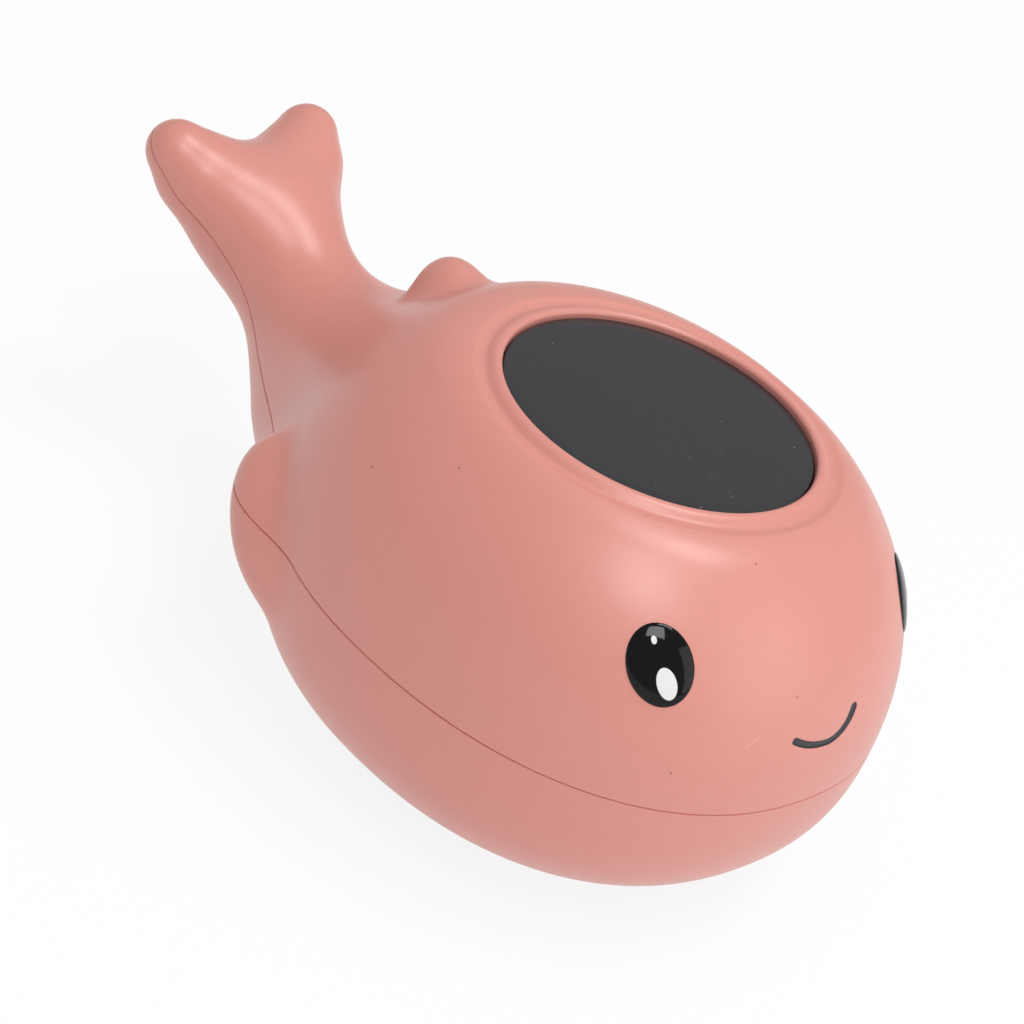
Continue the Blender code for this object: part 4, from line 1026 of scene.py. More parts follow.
@dataclass
class Shells:
    """The two half shells and the battery cover, in fine skin with grooves along their joints."""

    form: WhaleForm
    smile: Smile
    origin: Vector
    finish: MouldedPlastic
    cover_half: tuple[float, float] = (20.0 * MM, 28.5 * MM)
    cover_middle: float = 2.5 * MM
    cover_power: float = 3.5
    well_x: float = 16.3 * MM
    well_radius: float = 2.2 * MM
    probe_radius: float = 2.7 * MM
    pin_radius: float = 1.4 * MM
    hole_reach: float = 12.0 * MM
    wall: float = 1.6 * MM
    belly: float = -30.0 * MM
    crown: float = -12.0 * MM
    far: float = 30.0 * MM
    hole_radius: float = 17.7 * MM
    ledge: float = 2.4 * MM
    brim: float = 21.6 * MM
    fan: float = 19.5 * MM
    floor: float = -2.2 * MM
    seam_depth: float = 0.22 * MM
    seam_width: float = 0.072 * MM
    cover_gap_depth: float = 0.5 * MM
    cover_gap_width: float = 0.11 * MM
    smile_reach: float = 0.9 * MM
    smile_edge: float = 0.16 * MM
    smile_width: float = 1.02
    smile_squareness: float = 5.0
    smile_lines: tuple[float, ...] = (0.75, 0.9, 1.02, 1.14, 1.3)
    brim_rows: int = 9
    lip_rows: int = 21
    inner_rows: int = 8
    bore_heights: tuple[float, float] = (-0.5 * MM, -1.2 * MM)
    below_brim: float = -6.0 * MM
    reach: float = 12.0 * MM
    samples: int = 60
    fine_step: float = 0.004 * MM
    mesh: tuple[int, int, int, int] = (264, 60, 190, 52)
    quick_mesh: tuple[int, int, int, int] = (150, 34, 120, 34)

    def cover_edge(self, points: Array) -> Array:
        """The measure of the battery cover's outline.

        Args:
            points: the points.

        Returns:
            How far outside the outline they lie.
        """
        side, back = np.abs(points[:, 0]), np.abs(points[:, 1] - self.cover_middle)
        x, y = side / self.cover_half[0], back / self.cover_half[1]
        ratio = (x**self.cover_power + y**self.cover_power) ** (1 / self.cover_power) + 1e-9
        return np.where(points[:, 2] < self.belly, np.hypot(side, back) * (1 - 1 / ratio), self.far)

    def well(self, side: Side) -> Field:
        """The measure of a cover screw's well.

        Args:
            side: the screw's side.

        Returns:
            A function that tells how far outside the well points lie.
        """
        def measure(points: Array) -> Array:
            """The distance from the well's wall."""
            flat = np.hypot(points[:, 0] - side.value * self.well_x, points[:, 1] - self.cover_middle)
            return np.where(points[:, 2] < self.belly, flat - self.well_radius, self.far)

        return measure

    def socket(self, node: str, radius: float) -> Field:
        """The measure of the hole that a node of the belly stands in.

        Args:
            node: the node.
            radius: the hole's radius.

        Returns:
            A function that tells how far outside the hole points lie.
        """
        low, high = (np.array(corner) - np.array(self.origin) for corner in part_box(node))
        spot = self.form.settle((low + high)[None] / 2)
        way = self.form.normals(spot)[0]

        def measure(points: Array) -> Array:
            """The distance from the hole's wall."""
            gap = points - spot
            flat = np.linalg.norm(gap - (gap @ way)[:, None] * way, axis=1)
            return flat - radius + np.where(np.linalg.norm(gap, axis=1) > self.hole_reach, self.far, 0.0)

        return measure

    def display_edge(self, points: Array) -> Array:
        """How far each point lies outside the brim round the display."""
        return np.where(points[:, 2] > self.crown, np.hypot(points[:, 0], points[:, 1]) - self.brim, self.far)

    def bezel(self, skin: Skin) -> tuple[Array, Array, Array, Array]:
        """The brim, lip and bore round the display, from the skin's own cut edge inwards.

        Args:
            skin: the cut skin.

        Returns:
            The skin's edge points in order, and the ring's points, faces and normals, edge first.
        """
        loop = skin.rim(self.display_edge)[::-1]
        edge = skin.points[loop]
        count = len(edge)
        flat = edge[:, :2] / np.linalg.norm(edge[:, :2], axis=1)[:, None]
        form, lip, shape = self.form, self.form.lip_radius, self.form.lipped

        def ring(out: float, up: float) -> Array:
            """Places or directions round the display's middle."""
            return np.column_stack([flat * out, np.full(count, up)])

        rows = [edge]
        for radius in np.linspace(self.brim, self.fan, self.brim_rows + 1)[1:]:
            start, up = ring(radius, self.below_brim), ring(0.0, 1.0)
            rows.append(start + up * form.crossing(start, up, self.reach, shape, self.samples)[:, None])
        hub = ring(lip, form.lip_level)
        first = np.arctan2(rows[-1][:, 2] - hub[:, 2], np.linalg.norm(rows[-1][:, :2], axis=1) - lip)
        for share in np.linspace(0, 1, self.lip_rows + 1)[1:]:
            turn = first * (1 - share) + math.pi / 2 * share
            way = np.column_stack([flat * np.cos(turn)[:, None], np.sin(turn)])
            rows.append(hub + way * form.crossing(hub, way, self.reach / 2, shape, self.samples)[:, None])
        normals = [form.normals(row, shape) for row in rows]
        inner = lip - self.hole_radius
        level = rows[-1][:, 2].mean() - inner
        for turn in np.linspace(math.pi / 2, math.pi, self.inner_rows + 1)[1:]:
            out, rise = math.cos(turn), math.sin(turn)
            rows.append(ring(lip + inner * out, level + inner * rise))
            normals.append(ring(out, rise))
        for height in (*self.bore_heights, self.floor):
            rows.append(ring(self.hole_radius, height))
            normals.append(ring(-1.0, 0.0))
        rows.append(ring(self.hole_radius - self.ledge, self.floor))
        normals.append(ring(0.0, 1.0))
        grid = np.arange(len(rows) * count).reshape(len(rows), count)
        after = np.roll(grid, -1, axis=1)
        quads = np.stack([grid[:-1], after[:-1], after[1:], grid[1:]], -1).reshape(-1, 4)
        return loop, np.concatenate(rows), quads, np.concatenate(normals)

    def collar(self, skin: Skin, measure: Field) -> Array:
        """A wall that runs inwards from the edge of a round hole in the skin.

        Args:
            skin: the cut skin, which gains the wall's points.
            measure: zero on the hole's edge.

        Returns:
            The wall's faces.
        """
        edge = skin.points[skin.rim(measure)]
        way = -self.form.normals(edge).mean(0)
        count, base = len(edge), len(skin.points) + np.arange(len(edge))
        skin.points = np.concatenate([skin.points, edge, edge + way * self.wall])
        after = np.roll(base, -1)
        return np.stack([base, after, after + count, base + count], -1)

    def build(self) -> None:
        """Makes the three skins, with the smile's groove and the openings."""
        form, smile = self.form, self.smile
        skin = Skin(form, *self.mesh)
        seam = Groove(form.above_parting, self.seam_depth, self.seam_width)
        gap = Groove(self.cover_edge, self.cover_gap_depth, self.cover_gap_width)
        mouth = Groove(smile.distance, smile.depth, smile.line * self.smile_width, self.smile_squareness)
        skin.refine(lambda points: smile.distance(points) < self.smile_reach, self.smile_edge)
        skin.rule(smile.distance, [smile.line * share for share in self.smile_lines])
        for groove in (seam, gap):
            skin.rule(groove.measure, groove.levels())
        holes = [self.socket("probe_cap", self.probe_radius)]
        holes += [self.socket(f"water_pin_{label}", self.pin_radius) for label in ("left", "right")]
        holes += [self.well(side) for side in Side]
        for measure in (self.display_edge, *holes):
            skin.cut(measure)
        normals, surface = form.normals(skin.points), skin.points
        bezel = self.bezel(skin)
        walls = [self.collar(skin, measure) for measure in holes]
        count, points = len(surface), skin.points.copy()
        bent = np.concatenate([normals, np.zeros((len(points) - count, 3))])
        for groove in (seam, gap, mouth):
            slopes = gradient(groove.sink, surface, self.fine_step)
            bent[:count] += slopes - (slopes * normals).sum(1)[:, None] * normals
            points[:count] -= normals * groove.sink(surface)[:, None]
        above, inside = form.above_parting(skin.middles()) > 0, self.cover_edge(skin.middles()) < 0
        pink = self.finish.build()
        face = Shader("salmon_plastic_with_smile")
        colour = face.mix(smile.mask(face, self.origin), self.finish.shade(face), smile.paint)
        self.finish.finish(face, colour)
        self.upper(points, skin.faces[above], bent, bezel, face.material)
        below, hatch = [skin.faces[~above & ~inside], *walls[:3]], [skin.faces[inside], *walls[3:]]
        self.lower("lower_shell_skin", "lower_shell", points, below, bent, pink)
        self.lower("battery_cover_skin", "battery_cover", points, hatch, bent, pink)

    def upper(self, points: Array, faces: Array, bent: Array, bezel: tuple,
              material: bpy.types.Material) -> None:
        """Joins the upper skin to the bezel in one piece.

        Args:
            points: every skin's points.
            faces: the upper skin's triangles.
            bent: the points' normals.
            bezel: what the method of that name gives.
            material: the finish.
        """
        loop, ring, quads, ring_normals = bezel
        count = len(loop)
        renumber = np.concatenate([loop, len(points) + np.arange(len(ring) - count)])
        whole = np.concatenate([points, ring[count:]])
        turned = unit(np.concatenate([bent, ring_normals[count:]]))
        every = [*faces, *renumber[quads]]
        made = make_piece("upper_shell_skin", whole, every, material, self.origin, turned)
        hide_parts("upper_shell")
        LOG.info("upper_shell_skin: %d faces", len(every))

    def lower(self, name: str, node: str, points: Array, faces: list, bent: Array,
              material: bpy.types.Material) -> None:
        """Makes one skin below the parting line.

        Args:
            name: the piece's name.
            node: the solid that it replaces.
            points: every skin's points.
            faces: its triangles, then the walls of its holes.
            bent: the points' normals.
            material: the finish.
        """
        turned = bent.copy()
        for wall in faces[1:]:
            corners = points[wall]
            across = np.cross(corners[:, 1] - corners[:, 0], corners[:, 3] - corners[:, 0])
            for column in wall.T:
                turned[column] = across
        every = [face for group in faces for face in group]
        made = make_piece(name, points, every, material, self.origin, unit(turned))
        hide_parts(node)
        LOG.info("%s: %d faces", name, len(every))


class Tree(Nodes):
    """A geometry node tree under construction."""

    def __init__(self, name: str, **sizes: float) -> None:
        """Makes the tree with named inputs for its sizes.

        Args:
            name: the name of the tree and its piece.
            sizes: the inputs' values by their names.
        """
        super().__init__(bpy.data.node_groups.new(name, "GeometryNodeTree"))
        self.name, self.sizes = name, sizes
        for way in ("INPUT", "OUTPUT"):
            self.tree.interface.new_socket("Geometry", in_out=way, socket_type="NodeSocketGeometry")
        for key in sizes:
            self.tree.interface.new_socket(key, in_out="INPUT", socket_type="NodeSocketFloat")
        self.given = self.tree.nodes.new("NodeGroupInput").outputs
        self.end = self.tree.nodes.new("NodeGroupOutput").inputs

    def value(self, kind: str, settings: dict | None = None, inputs: dict | None = None) -> Socket:
        """Adds a node and gives its first output."""
        return self.node(kind, settings, inputs).outputs[0]

    def vector(self, x: Socket | float = 0.0, y: Socket | float = 0.0, z: Socket | float = 0.0) -> Socket:
        """Joins three numbers in a vector."""
        return self.value("ShaderNodeCombineXYZ", inputs={0: x, 1: y, 2: z})

    def math(self, operation: str, first: Socket | float, second: Socket | float) -> Socket:
        """Works out one number from two."""
        return self.value("ShaderNodeMath", {"operation": operation}, {0: first, 1: second})

    def replace(self, node: str, slot: str, shape: Socket, material: bpy.types.Material) -> None:
        """Ends the tree, runs it once and puts the plain mesh in a solid's place.

        Args:
            node: the solid.
            slot: its material slot; not used.
            shape: the geometry to end in.
            material: the finish of everything in it.
        """
        real = self.value("GeometryNodeRealizeInstances", inputs={0: shape})
        dressed = self.value("GeometryNodeSetMaterial", inputs={"Geometry": real, "Material": material})
        self.tree.links.new(dressed, self.end[0])
        holder = bpy.data.objects.new(f"{self.name}_holder", bpy.data.meshes.new(f"{self.name}_empty"))
        bpy.context.scene.collection.objects.link(holder)
        modifier = holder.modifiers.new("make", "NODES")
        modifier.node_group = self.tree
        for item in self.tree.interface.items_tree:
            if item.item_type == "SOCKET" and item.in_out == "INPUT" and item.name in self.sizes:
                modifier[item.identifier] = float(self.sizes[item.name])
        mesh = bpy.data.meshes.new_from_object(holder.evaluated_get(bpy.context.evaluated_depsgraph_get()))
        holder.modifiers.remove(modifier)
        bpy.data.objects.remove(holder)
        made = bpy.data.objects.new(self.name, mesh)
        bpy.context.scene.collection.objects.link(made)
        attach(made, "root")
        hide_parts(node)
        LOG.info("%s: %d faces", self.name, len(mesh.polygons))


@dataclass
class Spring:
    """A battery spring: a round wire coiled in a cone that narrows towards its cell."""

    node: str
    towards: int
    turns: float = 3.0
    wire: float = 0.27 * MM
    narrowing: float = 0.7

    def build(self, material: bpy.types.Material) -> None:
        """Coils the wire inside the solid's own box.

        Args:
            material: the wire's finish.
        """
        low, high = (np.array(corner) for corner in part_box(self.node))
        middle = (low + high) / 2
        wide = min(high[0] - low[0], high[2] - low[2]) / 2 - self.wire
        tree = Tree(f"{self.node}_coil", turns=self.turns, wide=wide, narrow=wide * self.narrowing,
                    travel=high[1] - low[1] - 2 * self.wire, wire=self.wire)
        coil = tree.value("GeometryNodeCurveSpiral", inputs={
            "Resolution": 48, "Rotations": tree.given["turns"], "Start Radius": tree.given["wide"],
            "End Radius": tree.given["narrow"], "Height": tree.given["travel"]})
        ring = tree.value("GeometryNodeCurvePrimitiveCircle", inputs={
            "Resolution": 14, "Radius": tree.given["wire"]})
        wire = tree.value("GeometryNodeCurveToMesh", inputs={
            "Curve": coil, "Profile Curve": ring, "Fill Caps": True})
        smooth = tree.value("GeometryNodeSetShadeSmooth", inputs={"Geometry": wire})
        start = low[1] + self.wire if self.towards > 0 else high[1] - self.wire
        placed = tree.value("GeometryNodeTransform", inputs={
            "Geometry": smooth, "Translation": (middle[0], start, middle[2]),
            "Rotation": (-self.towards * math.pi / 2, 0.0, 0.0)})
        tree.replace(self.node, "plated_contact", placed, material)


@dataclass
class Chip:
    """The control chip: a low black block with a row of legs along each side."""

    node: str = "control_chip"
    legs: int = 8
    reach: float = 0.85 * MM
    leg_width: float = 0.32 * MM
    leg_thickness: float = 0.16 * MM

    def build(self, material: bpy.types.Material) -> None:
        """Repeats the legs round the block.

        Args:
            material: the finish.
        """
        low, high = (np.array(corner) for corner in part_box(self.node))
        board = sum(corner[2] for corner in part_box("main_board")) / 2
        middle, size = (low + high) / 2, high - low
        above = board > middle[2]
        foot = high[2] - self.leg_thickness / 2 if above else low[2] + self.leg_thickness / 2
        side = size[0] - 2 * self.reach
        tree = Tree("control_chip_fine", side=side, tall=size[2] * 0.92, reach=self.reach,
                    width=self.leg_width, thickness=self.leg_thickness, pitch=side / (self.legs + 0.5))
        given = tree.given
        sides = tree.vector(given["side"], given["side"], given["tall"])
        block = tree.value("GeometryNodeMeshCube", inputs={"Size": sides})
        leg = tree.value("GeometryNodeMeshCube", inputs={
            "Size": tree.vector(given["reach"], given["width"], given["thickness"])})
        out = tree.math("MULTIPLY", tree.math("ADD", given["side"], given["reach"]), 0.5)
        first = tree.math("MULTIPLY", given["pitch"], -(self.legs - 1) / 2)
        line = tree.value("GeometryNodeMeshLine", inputs={
            "Count": self.legs, "Start Location": tree.vector(out, first, foot - middle[2]),
            "Offset": tree.vector(0.0, given["pitch"], 0.0)})
        row = tree.value("GeometryNodeInstanceOnPoints", inputs={"Points": line, "Instance": leg})
        corners = tree.value("GeometryNodeMeshLine", inputs={"Count": 4, "Offset": (0.0, 0.0, 0.0)})
        turn = tree.math("MULTIPLY", tree.value("GeometryNodeInputIndex"), math.pi / 2)
        rows = tree.value("GeometryNodeInstanceOnPoints", inputs={
            "Points": corners, "Instance": row, "Rotation": tree.vector(0.0, 0.0, turn)})
        whole = tree.value("GeometryNodeJoinGeometry", inputs={0: [block, rows]})
        placed = tree.value("GeometryNodeTransform", inputs={"Geometry": whole, "Translation": tuple(middle)})
        tree.replace(self.node, "black_plastic", placed, material)


@dataclass(frozen=True)
class SmokedAcrylic:
    """Glossy dark acrylic with the unlit segments showing faintly and some dust."""

    origin: Vector
    turn: float = math.radians(-10.0)
    digit_height: float = 4.9 * MM
    digit_width: float = 2.7 * MM
    bar: float = 0.16 * MM
    bar_soft: float = 0.14 * MM
    bar_end: float = 0.1 * MM
    digits: tuple[tuple[float, float], ...] = ((-1.6, 3.9), (2.4, 2.9), (-2.7, -4.4), (1.4, -5.3))
    dusty: tuple[tuple[float, float, float], ...] = (
        (-10.4, -9.7, 0.5), (-3.2, -10.6, 0.3), (-2.3, -14.6, 0.8), (-2.7, -6.6, 0.2), (5.8, -13.6, 0.3))
    unlit: Colour = (0.015, 0.0145, 0.019)
    segment: Colour = (0.026, 0.023, 0.027)
    dust: Colour = (0.45, 0.42, 0.40)

    @staticmethod
    def grains(shader: Shader, spacing: float, size: float) -> Link:
        """Round dust grains, as far apart as the spacing and as large as the given share of it."""
        inputs = {"Vector": shader.point(), "Scale": 1 / spacing}
        return shader.value("ShaderNodeTexVoronoi", {"feature": "F1"}, inputs, "Distance").below(size, size)

    def bars(self, across: Link, up: Link) -> Link:
        """One digit's bars.

        Args:
            across: the place along the digit's width, from its middle.
            up: the place along its height, from its middle.

        Returns:
            One on the bars and zero beside them.
        """
        half_wide, half_tall = self.digit_width / 2, self.digit_height / 2
        wide, tall = across.math("ABSOLUTE"), up.math("ABSOLUTE")
        level = (tall - half_tall).math("ABSOLUTE").math("MINIMUM", tall)
        flat = level.below(self.bar, self.bar_soft) * wide.below(half_wide - 0.3 * MM, self.bar_end)
        upright = (wide - half_wide).math("ABSOLUTE").below(self.bar, self.bar_soft)
        return flat.math("MAXIMUM", upright * tall.below(half_tall - 0.2 * MM, self.bar_end))

    def build(self) -> bpy.types.Material:
        """The finished material.

        Returns:
            The material.
        """
        shader = Shader("smoked_acrylic")
        x, y, _ = shader.axes()
        across, up = x - self.origin.x, y - self.origin.y
        cosine, sine = math.cos(self.turn), math.sin(self.turn)
        digits = []
        for middle_x, middle_y in self.digits:
            aside, above = across - middle_x * MM, up - middle_y * MM
            digits.append(self.bars(aside * cosine + above * sine, above * cosine - aside * sine))
        smear = shader.noise(5 * MM, 4, 0.6)
        sparse = self.grains(shader, 2.3 * MM, 0.03) * (1 - shader.noise(3.3 * MM, 1).below(0.52, 0.05))
        patch = highest([
            shader.near((self.origin.x + middle_x * MM, self.origin.y + middle_y * MM, self.origin.z),
                        radius * MM, 1.2 * MM)
            for middle_x, middle_y, radius in self.dusty])
        dense = self.grains(shader, 0.55 * MM, 0.085) * patch * shader.noise(0.9 * MM, 2)
        dust = sparse.math("MAXIMUM", dense)
        worn = (2.4 * smear - 0.95).math("MAXIMUM", 0.0)
        colour = shader.mix(highest(digits) * worn, self.unlit, self.segment)
        colour = shader.mix(dust * 0.55, colour, self.dust)
        shader.set(Base_Color=colour, Roughness=0.20 + 0.08 * smear + 0.30 * dust, Specular_IOR_Level=0.62)
        shader.bump(smear, 0.01 * MM, 0.15)
        return shader.material


@dataclass
class Display:
    """The smoked window over two rows of digits."""

    origin: Vector
    radius: float = 17.5 * MM
    thickness: float = 1.6 * MM
    edge: float = 0.18 * MM
    sides: int = 256

    def build(self) -> None:
        """Makes the window."""
        arc = [(self.radius - self.edge * (1 - math.sin(a)), -self.edge * (1 - math.cos(a)))
               for a in np.linspace(0, math.pi / 2, 6)]
        rings = [(r, 0.0) for r in np.linspace(0, self.radius - self.edge, 9)[:-1]]
        profile = rings + arc + [(self.radius, -self.thickness), (0.0, -self.thickness)]
        points, faces = lathe(profile, self.sides, flip=True)
        made = make_piece("display_window", points, faces, SmokedAcrylic(self.origin).build(), self.origin)
        made.data.set_sharp_from_angle(angle=math.radians(40))
        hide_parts("display_lens")
        LOG.info("display_window: %d faces", len(faces))


@dataclass(frozen=True)
class EyeGloss:
    """Gloss black with two white glints printed under it, laid out on a sheet."""

    name: str
    sheet: float = 20.0
    glints: tuple[tuple[float, float, float, float, float], ...] = (
        (-1.45, 2.29, 0.42, 0.29, -63.0), (1.10, -1.59, 1.71, 1.01, -56.6))

    def build(self) -> bpy.types.Material:
        """The finished material.

        Returns:
            The material.
        """
        shader = Shader(self.name)
        u, v = (axis - 0.5 for axis in shader.axes("UV")[:2])
        spots = []
        for across, up, half_long, half_short, angle in self.glints:
            cosine, sine = math.cos(math.radians(angle)), math.sin(math.radians(angle))
            a, b = u - across / self.sheet, v - up / self.sheet
            far_a = (a * cosine + b * sine) / (half_long / self.sheet)
            far_b = (b * cosine - a * sine) / (half_short / self.sheet)
            spots.append((far_a * far_a + far_b * far_b).math("SQRT").below(0.97, 0.07))
        grit = shader.noise(0.35 * MM, 3, 0.6)
        base = shader.mix(0.5 * grit, (0.001, 0.001, 0.0012), (0.003, 0.003, 0.0035))
        colour = shader.mix(highest(spots), base, (0.80, 0.78, 0.78))
        shader.set(Base_Color=colour, Roughness=0.04 + 0.03 * grit, Specular_IOR_Level=0.28)
        shader.bump(shader.noise(2.2 * MM, 1), 0.03 * MM, 0.25)
        return shader.material


@dataclass
class EyeBadge:
    """A domed oval badge. Its centre is given on the whale's left side."""

    form: WhaleForm
    origin: Vector
    side: Side
    centre: Place = (19.49 * MM, -24.85 * MM, -9.66 * MM)
    half_long: float = 4.36 * MM
    half_wide: float = 3.42 * MM
    lean: float = math.radians(34.4)
    rise: float = 0.48 * MM
    rim_depths: tuple[float, float] = (-0.15 * MM, -0.5 * MM)
    under: float = 8.0 * MM
    sides: int = 96

    def build(self) -> None:
        """Lays the badge on the skin and domes it."""
        label, sides = self.side.name.lower(), self.sides
        place = self.form.settle(np.array([self.centre]) * (self.side.value, 1, 1))[0]
        out = self.form.normals(place[None])[0]
        level = unit(np.cross(AXES[2], out))
        up = np.cross(out, level)
        ahead = level if level[1] < 0 else -level
        cosine, sine = math.cos(self.lean), math.sin(self.lean)
        long_way, wide_way = cosine * up - sine * ahead, cosine * ahead + sine * up
        near_rim = 1 - 0.1 * (1 - np.linspace(0, 1, 8)[1:]) ** 1.6
        shares = np.concatenate([np.linspace(0, 0.9, 12), near_rim, [1.0, 1.0]])
        heights = self.rise * np.maximum(1 - shares**2.3, 0) ** 0.5
        heights[-2:] = self.rim_depths
        rows = []
        angles = 2 * math.pi * np.arange(sides) / sides
        for share, height in zip(shares, heights):
            flat = share * (self.half_long * np.outer(np.cos(angles), long_way)
                            + self.half_wide * np.outer(np.sin(angles), wide_way))
            start = place + flat - self.under * out
            skin = start + out * self.form.crossing(start, np.tile(out, (sides, 1)), 1.5 * self.under)[:, None]
            rows.append(skin + out * height)
        rows[0] = rows[0][:1]
        points = np.concatenate(rows)
        faces = [(0, 1 + k, 1 + (k + 1) % sides) for k in range(sides)]
        for row in range(len(rows) - 2):
            low, high = 1 + row * sides, 1 + (row + 1) * sides
            faces += [(low + k, high + k, high + (k + 1) % sides, low + (k + 1) % sides) for k in range(sides)]
        flip = np.cross(points[faces[0][1]] - points[0], points[faces[0][2]] - points[0]) @ out < 0
        faces = [face[::-1] for face in faces] if flip else faces
        gloss = EyeGloss(f"eye_gloss_{label}")
        uvs = np.stack([(points - place) @ ahead, (points - place) @ up], -1) / (gloss.sheet * MM) + 0.5
        made = make_piece(f"eye_badge_{label}", points, faces, gloss.build(), self.origin, uvs=uvs)
        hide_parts(f"eye_{label}")
        LOG.info("eye_badge_%s: %d faces", label, len(faces))


@dataclass(frozen=True)
class Lamp:
    """A soft square lamp that looks at the whale, with its angles in degrees and its power in watts."""

    name: str
    azimuth: float
    elevation: float
    size: float
    power: float
    far: float = 0.85

    def build(self, aim: Vector) -> None:
        """Hangs the lamp.

        Args:
            aim: the place that it looks at.
        """
        light = bpy.data.lights.new(self.name, "AREA")
        light.shape, light.size, light.energy = "SQUARE", self.size, self.power
        made = bpy.data.objects.new(self.name, light)
        bpy.context.scene.collection.objects.link(made)
        level, rise = math.radians(self.azimuth), math.radians(self.elevation)
        way = Vector((math.cos(rise) * math.cos(level), math.cos(rise) * math.sin(level), math.sin(rise)))
        stand = Matrix.Translation(aim + way * self.far)
        made.matrix_world = stand @ way.to_track_quat("Z", "Y").to_matrix().to_4x4()


@dataclass
class Studio:
    """The floor, the lamps and the camera, whose place in mm and axes were fitted to the photograph."""

    origin: Vector
    eye: Place = (-262.923, -172.675, 173.654)
    right: Place = (0.695780, -0.638791, 0.328383)
    down: Place = (-0.171325, -0.591602, -0.787816)
    ahead: Place = (0.697522, 0.491887, -0.521066)
    focal: float = 3400.0
    photo_side: float = 1024.0
    sensor: float = 36.0
    floor_half: float = 4.0
    glow_share: float = 0.88
    daylight: float = 0.46
    lamps: tuple[Lamp, ...] = (Lamp("overhead", -47, 76, 0.34, 2.6), Lamp("above_camera", -128, 56, 0.30, 2.0),
                               Lamp("front_right", -72, 22, 0.62, 1.5))

    def camera(self) -> None:
        """Stands the camera where the photograph was taken."""
        lens = bpy.data.cameras.new("camera")
        lens.sensor_width = self.sensor
        lens.lens = self.focal / self.photo_side * self.sensor
        lens.clip_start, lens.clip_end = 0.01, 20.0
        made = bpy.data.objects.new("camera", lens)
        bpy.context.scene.collection.objects.link(made)
        turn = Matrix((self.right, [-c for c in self.down], [-c for c in self.ahead])).transposed()
        made.matrix_world = Matrix.Translation(self.origin + Vector(self.eye) * MM) @ turn.to_4x4()
        bpy.context.scene.camera = made

    def floor(self) -> None:
        """A plain white floor that keeps a soft shadow."""
        mesh = bpy.data.meshes.new("floor")
        half = self.floor_half
        corners = [(-half, -half, 0), (half, -half, 0), (half, half, 0), (-half, half, 0)]
        mesh.from_pydata(corners, [], [(0, 1, 2, 3)])
        floor = bpy.data.objects.new("floor", mesh)
        bpy.context.scene.collection.objects.link(floor)
        shader = Shader("floor_white")
        grain = shader.noise(0.4, 2)
        shader.set(Base_Color=shader.mix(grain, (0.90, 0.90, 0.90), (0.92, 0.92, 0.92)), Roughness=0.9)
        path = shader.node("ShaderNodeLightPath").outputs
        seen = highest([Link(shader, path[f"Is {kind} Ray"]) for kind in ("Camera", "Glossy", "Transmission")])
        glow = shader.node("ShaderNodeEmission", inputs={"Color": (1, 1, 1, 1), "Strength": 1.0})
        blend = shader.node("ShaderNodeMixShader", inputs={
            0: seen * self.glow_share, 1: shader.principled.outputs[0], 2: glow.outputs[0]})
        shader.feed(shader.tree.nodes["Material Output"].inputs["Surface"], blend.outputs[0])
        mesh.materials.append(shader.material)

    def world(self) -> None:
        """Even pale light from all round."""
        world = bpy.data.worlds.new("studio")
        bpy.context.scene.world = world
        world.use_nodes = True
        nodes = Nodes(world.node_tree)
        seen = nodes.node("ShaderNodeLightPath").outputs["Is Camera Ray"]
        level = nodes.node("ShaderNodeMix", {"data_type": "FLOAT"}, {0: seen, 2: self.daylight, 3: 1.0})
        back = nodes.tree.nodes["Background"].inputs
        nodes.feed(back["Color"], (1.0, 1.0, 1.0, 1.0))
        nodes.feed(back["Strength"], level.outputs[0])

    def build(self) -> None:
        """Sets the whole studio up."""
        bpy.context.scene.view_settings.view_transform = "Standard"
        self.camera()
        self.floor()
        self.world()
        for lamp in self.lamps:
            lamp.build(Vector((0, 0, self.origin.z / 2)))


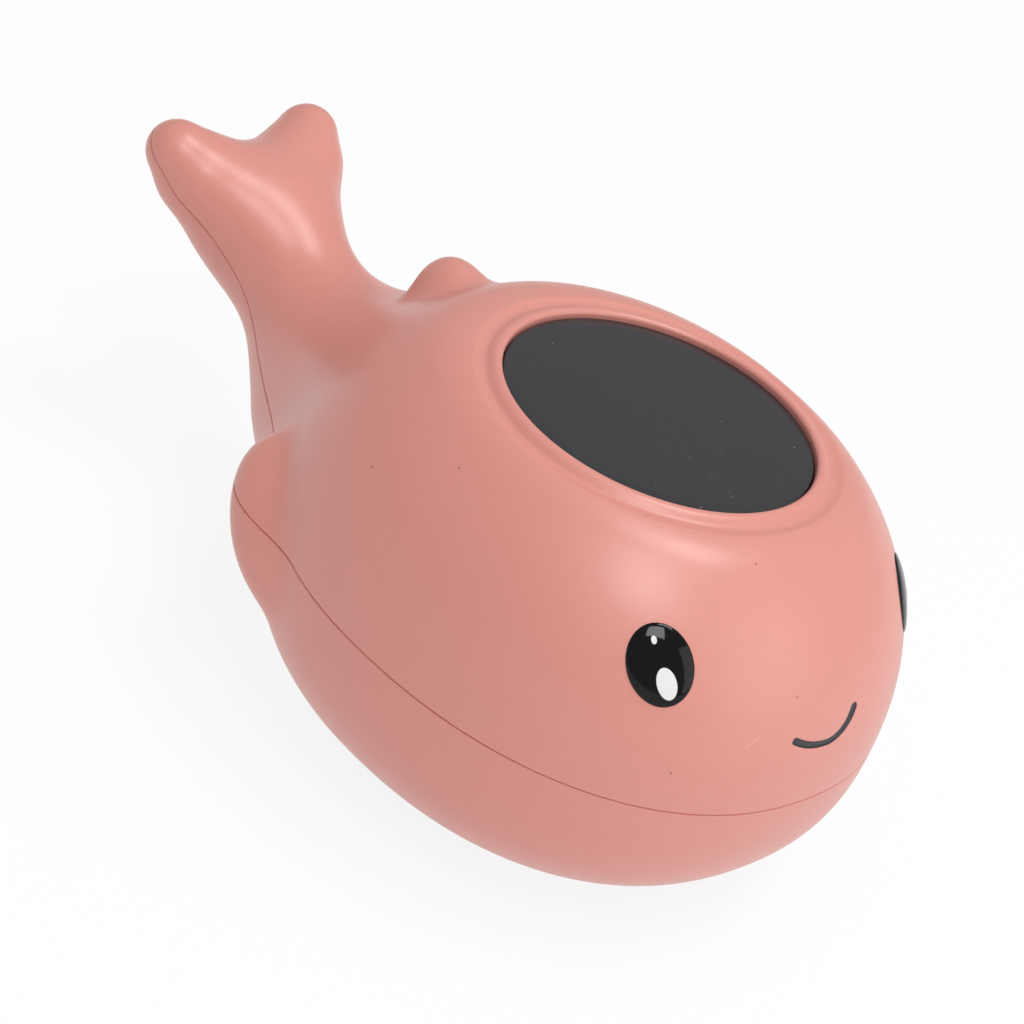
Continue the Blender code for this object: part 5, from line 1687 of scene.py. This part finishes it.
@dataclass
class Innards:
    """The solids that are carried over: each gets its own finish, and the springs and the chip more detail."""

    cell_band: float = 11.0 * MM

    def finishes(self) -> dict[str, "MouldedPlastic | BareMetal | Rubber | CircuitBoard | CellJacket"]:
        """Chooses the finishes.

        Returns:
            A finish for each material slot.
        """
        low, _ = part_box("battery_left")
        return {
            "shell_plastic": MouldedPlastic("shell_inside", (0.73, 0.30, 0.25)),
            "black_plastic": MouldedPlastic("black_moulding", (0.02, 0.02, 0.022), 0.45, 0.02 * MM),
            "foam_tape": Rubber("foam_tape_fine", (0.03, 0.03, 0.03), 0.5 * MM, 0.06 * MM),
            "segment_film": MouldedPlastic("segment_film_fine", (0.12, 0.12, 0.13), 0.3, 0.004 * MM),
            "circuit_board": CircuitBoard(),
            "crystal_can": BareMetal("crystal_can_fine", (0.7, 0.7, 0.71), 0.25),
            "capacitor_sleeve": MouldedPlastic("capacitor_sleeve_fine", (0.02, 0.04, 0.16), 0.3, 0.01 * MM),
            "stainless_steel": BareMetal("stainless", (0.62, 0.62, 0.63), 0.24),
            "cell_jacket": CellJacket(band_end=low[1] + self.cell_band),
            "plated_contact": BareMetal("nickel", (0.72, 0.70, 0.66), 0.3),
            "grey_silicone": Rubber("silicone", (0.45, 0.45, 0.46)),
            "sensor_epoxy": MouldedPlastic("epoxy", (0.05, 0.04, 0.03), 0.3),
            "red_insulation": Rubber("red_sleeve", (0.6, 0.03, 0.02)),
            "black_insulation": Rubber("black_sleeve", (0.02, 0.02, 0.02)),
            "white_insulation": Rubber("white_sleeve", (0.75, 0.75, 0.72)),
            "yellow_insulation": Rubber("yellow_sleeve", (0.75, 0.5, 0.05)),
        }

    def build(self) -> None:
        """Dresses the solids, then remakes the springs and the chip."""
        finishes, made = self.finishes(), {}
        slots = {part["node"]: part["material_slot"] for part in frame["record"]["subparts"]}
        for node, solid in frame["nodes"].items():
            slot = slots[node]
            if slot in finishes and solid.material_slots:
                if slot not in made:
                    made[slot] = finishes[slot].build()
                for holder in solid.material_slots:
                    holder.material = made[slot]
        Spring("front_spring", 1).build(made["plated_contact"])
        Spring("rear_spring", -1).build(made["plated_contact"])
        Chip().build(made["black_plastic"])


@dataclass(frozen=True)
class Marks:
    """Five dark specks and one light scratch on the shell, in mm from the display's middle."""

    specks: tuple[Place, ...] = ((-7.54, -22.84, -1.06), (-5.29, -32.40, -11.55), (-17.98, -30.34, -19.79),
                                 (-28.21, 11.28, -9.65), (-25.53, 2.74, -4.17))
    scratch: tuple[Place, Place] = ((-11.07, -32.83, -16.26), (-9.83, -32.93, -15.33))

    def plastic(self, form: WhaleForm, origin: Vector) -> MouldedPlastic:
        """The shell's plastic with the marks on its skin.

        Args:
            form: the whale's form.
            origin: where the layout stands in the world.

        Returns:
            The finish.
        """
        count = len(self.specks)
        places = form.settle(np.array(self.specks + self.scratch) * MM) + np.array(origin)
        spots = [tuple(place) for place in places]
        return MouldedPlastic("salmon_plastic", (0.70, 0.280, 0.234), 0.35, specular=0.6, soft=0.08,
                              specks=tuple(spots[:count]), scratch=tuple(spots[count:]))


def main() -> None:
    """Builds every piece in order and lights them."""
    logging.basicConfig(level=logging.INFO, format="%(message)s")
    low, high = (Vector(corner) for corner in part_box("display_lens"))
    origin = Vector(((low.x + high.x) / 2, (low.y + high.y) / 2, high.z))
    form = WhaleForm()
    Studio(origin).build()
    Shells(form, Smile(), origin, Marks().plastic(form, origin)).build()
    Display(origin).build()
    for side in Side:
        EyeBadge(form, origin, side).build()
    Innards().build()


if __name__ == "__main__":
    main()
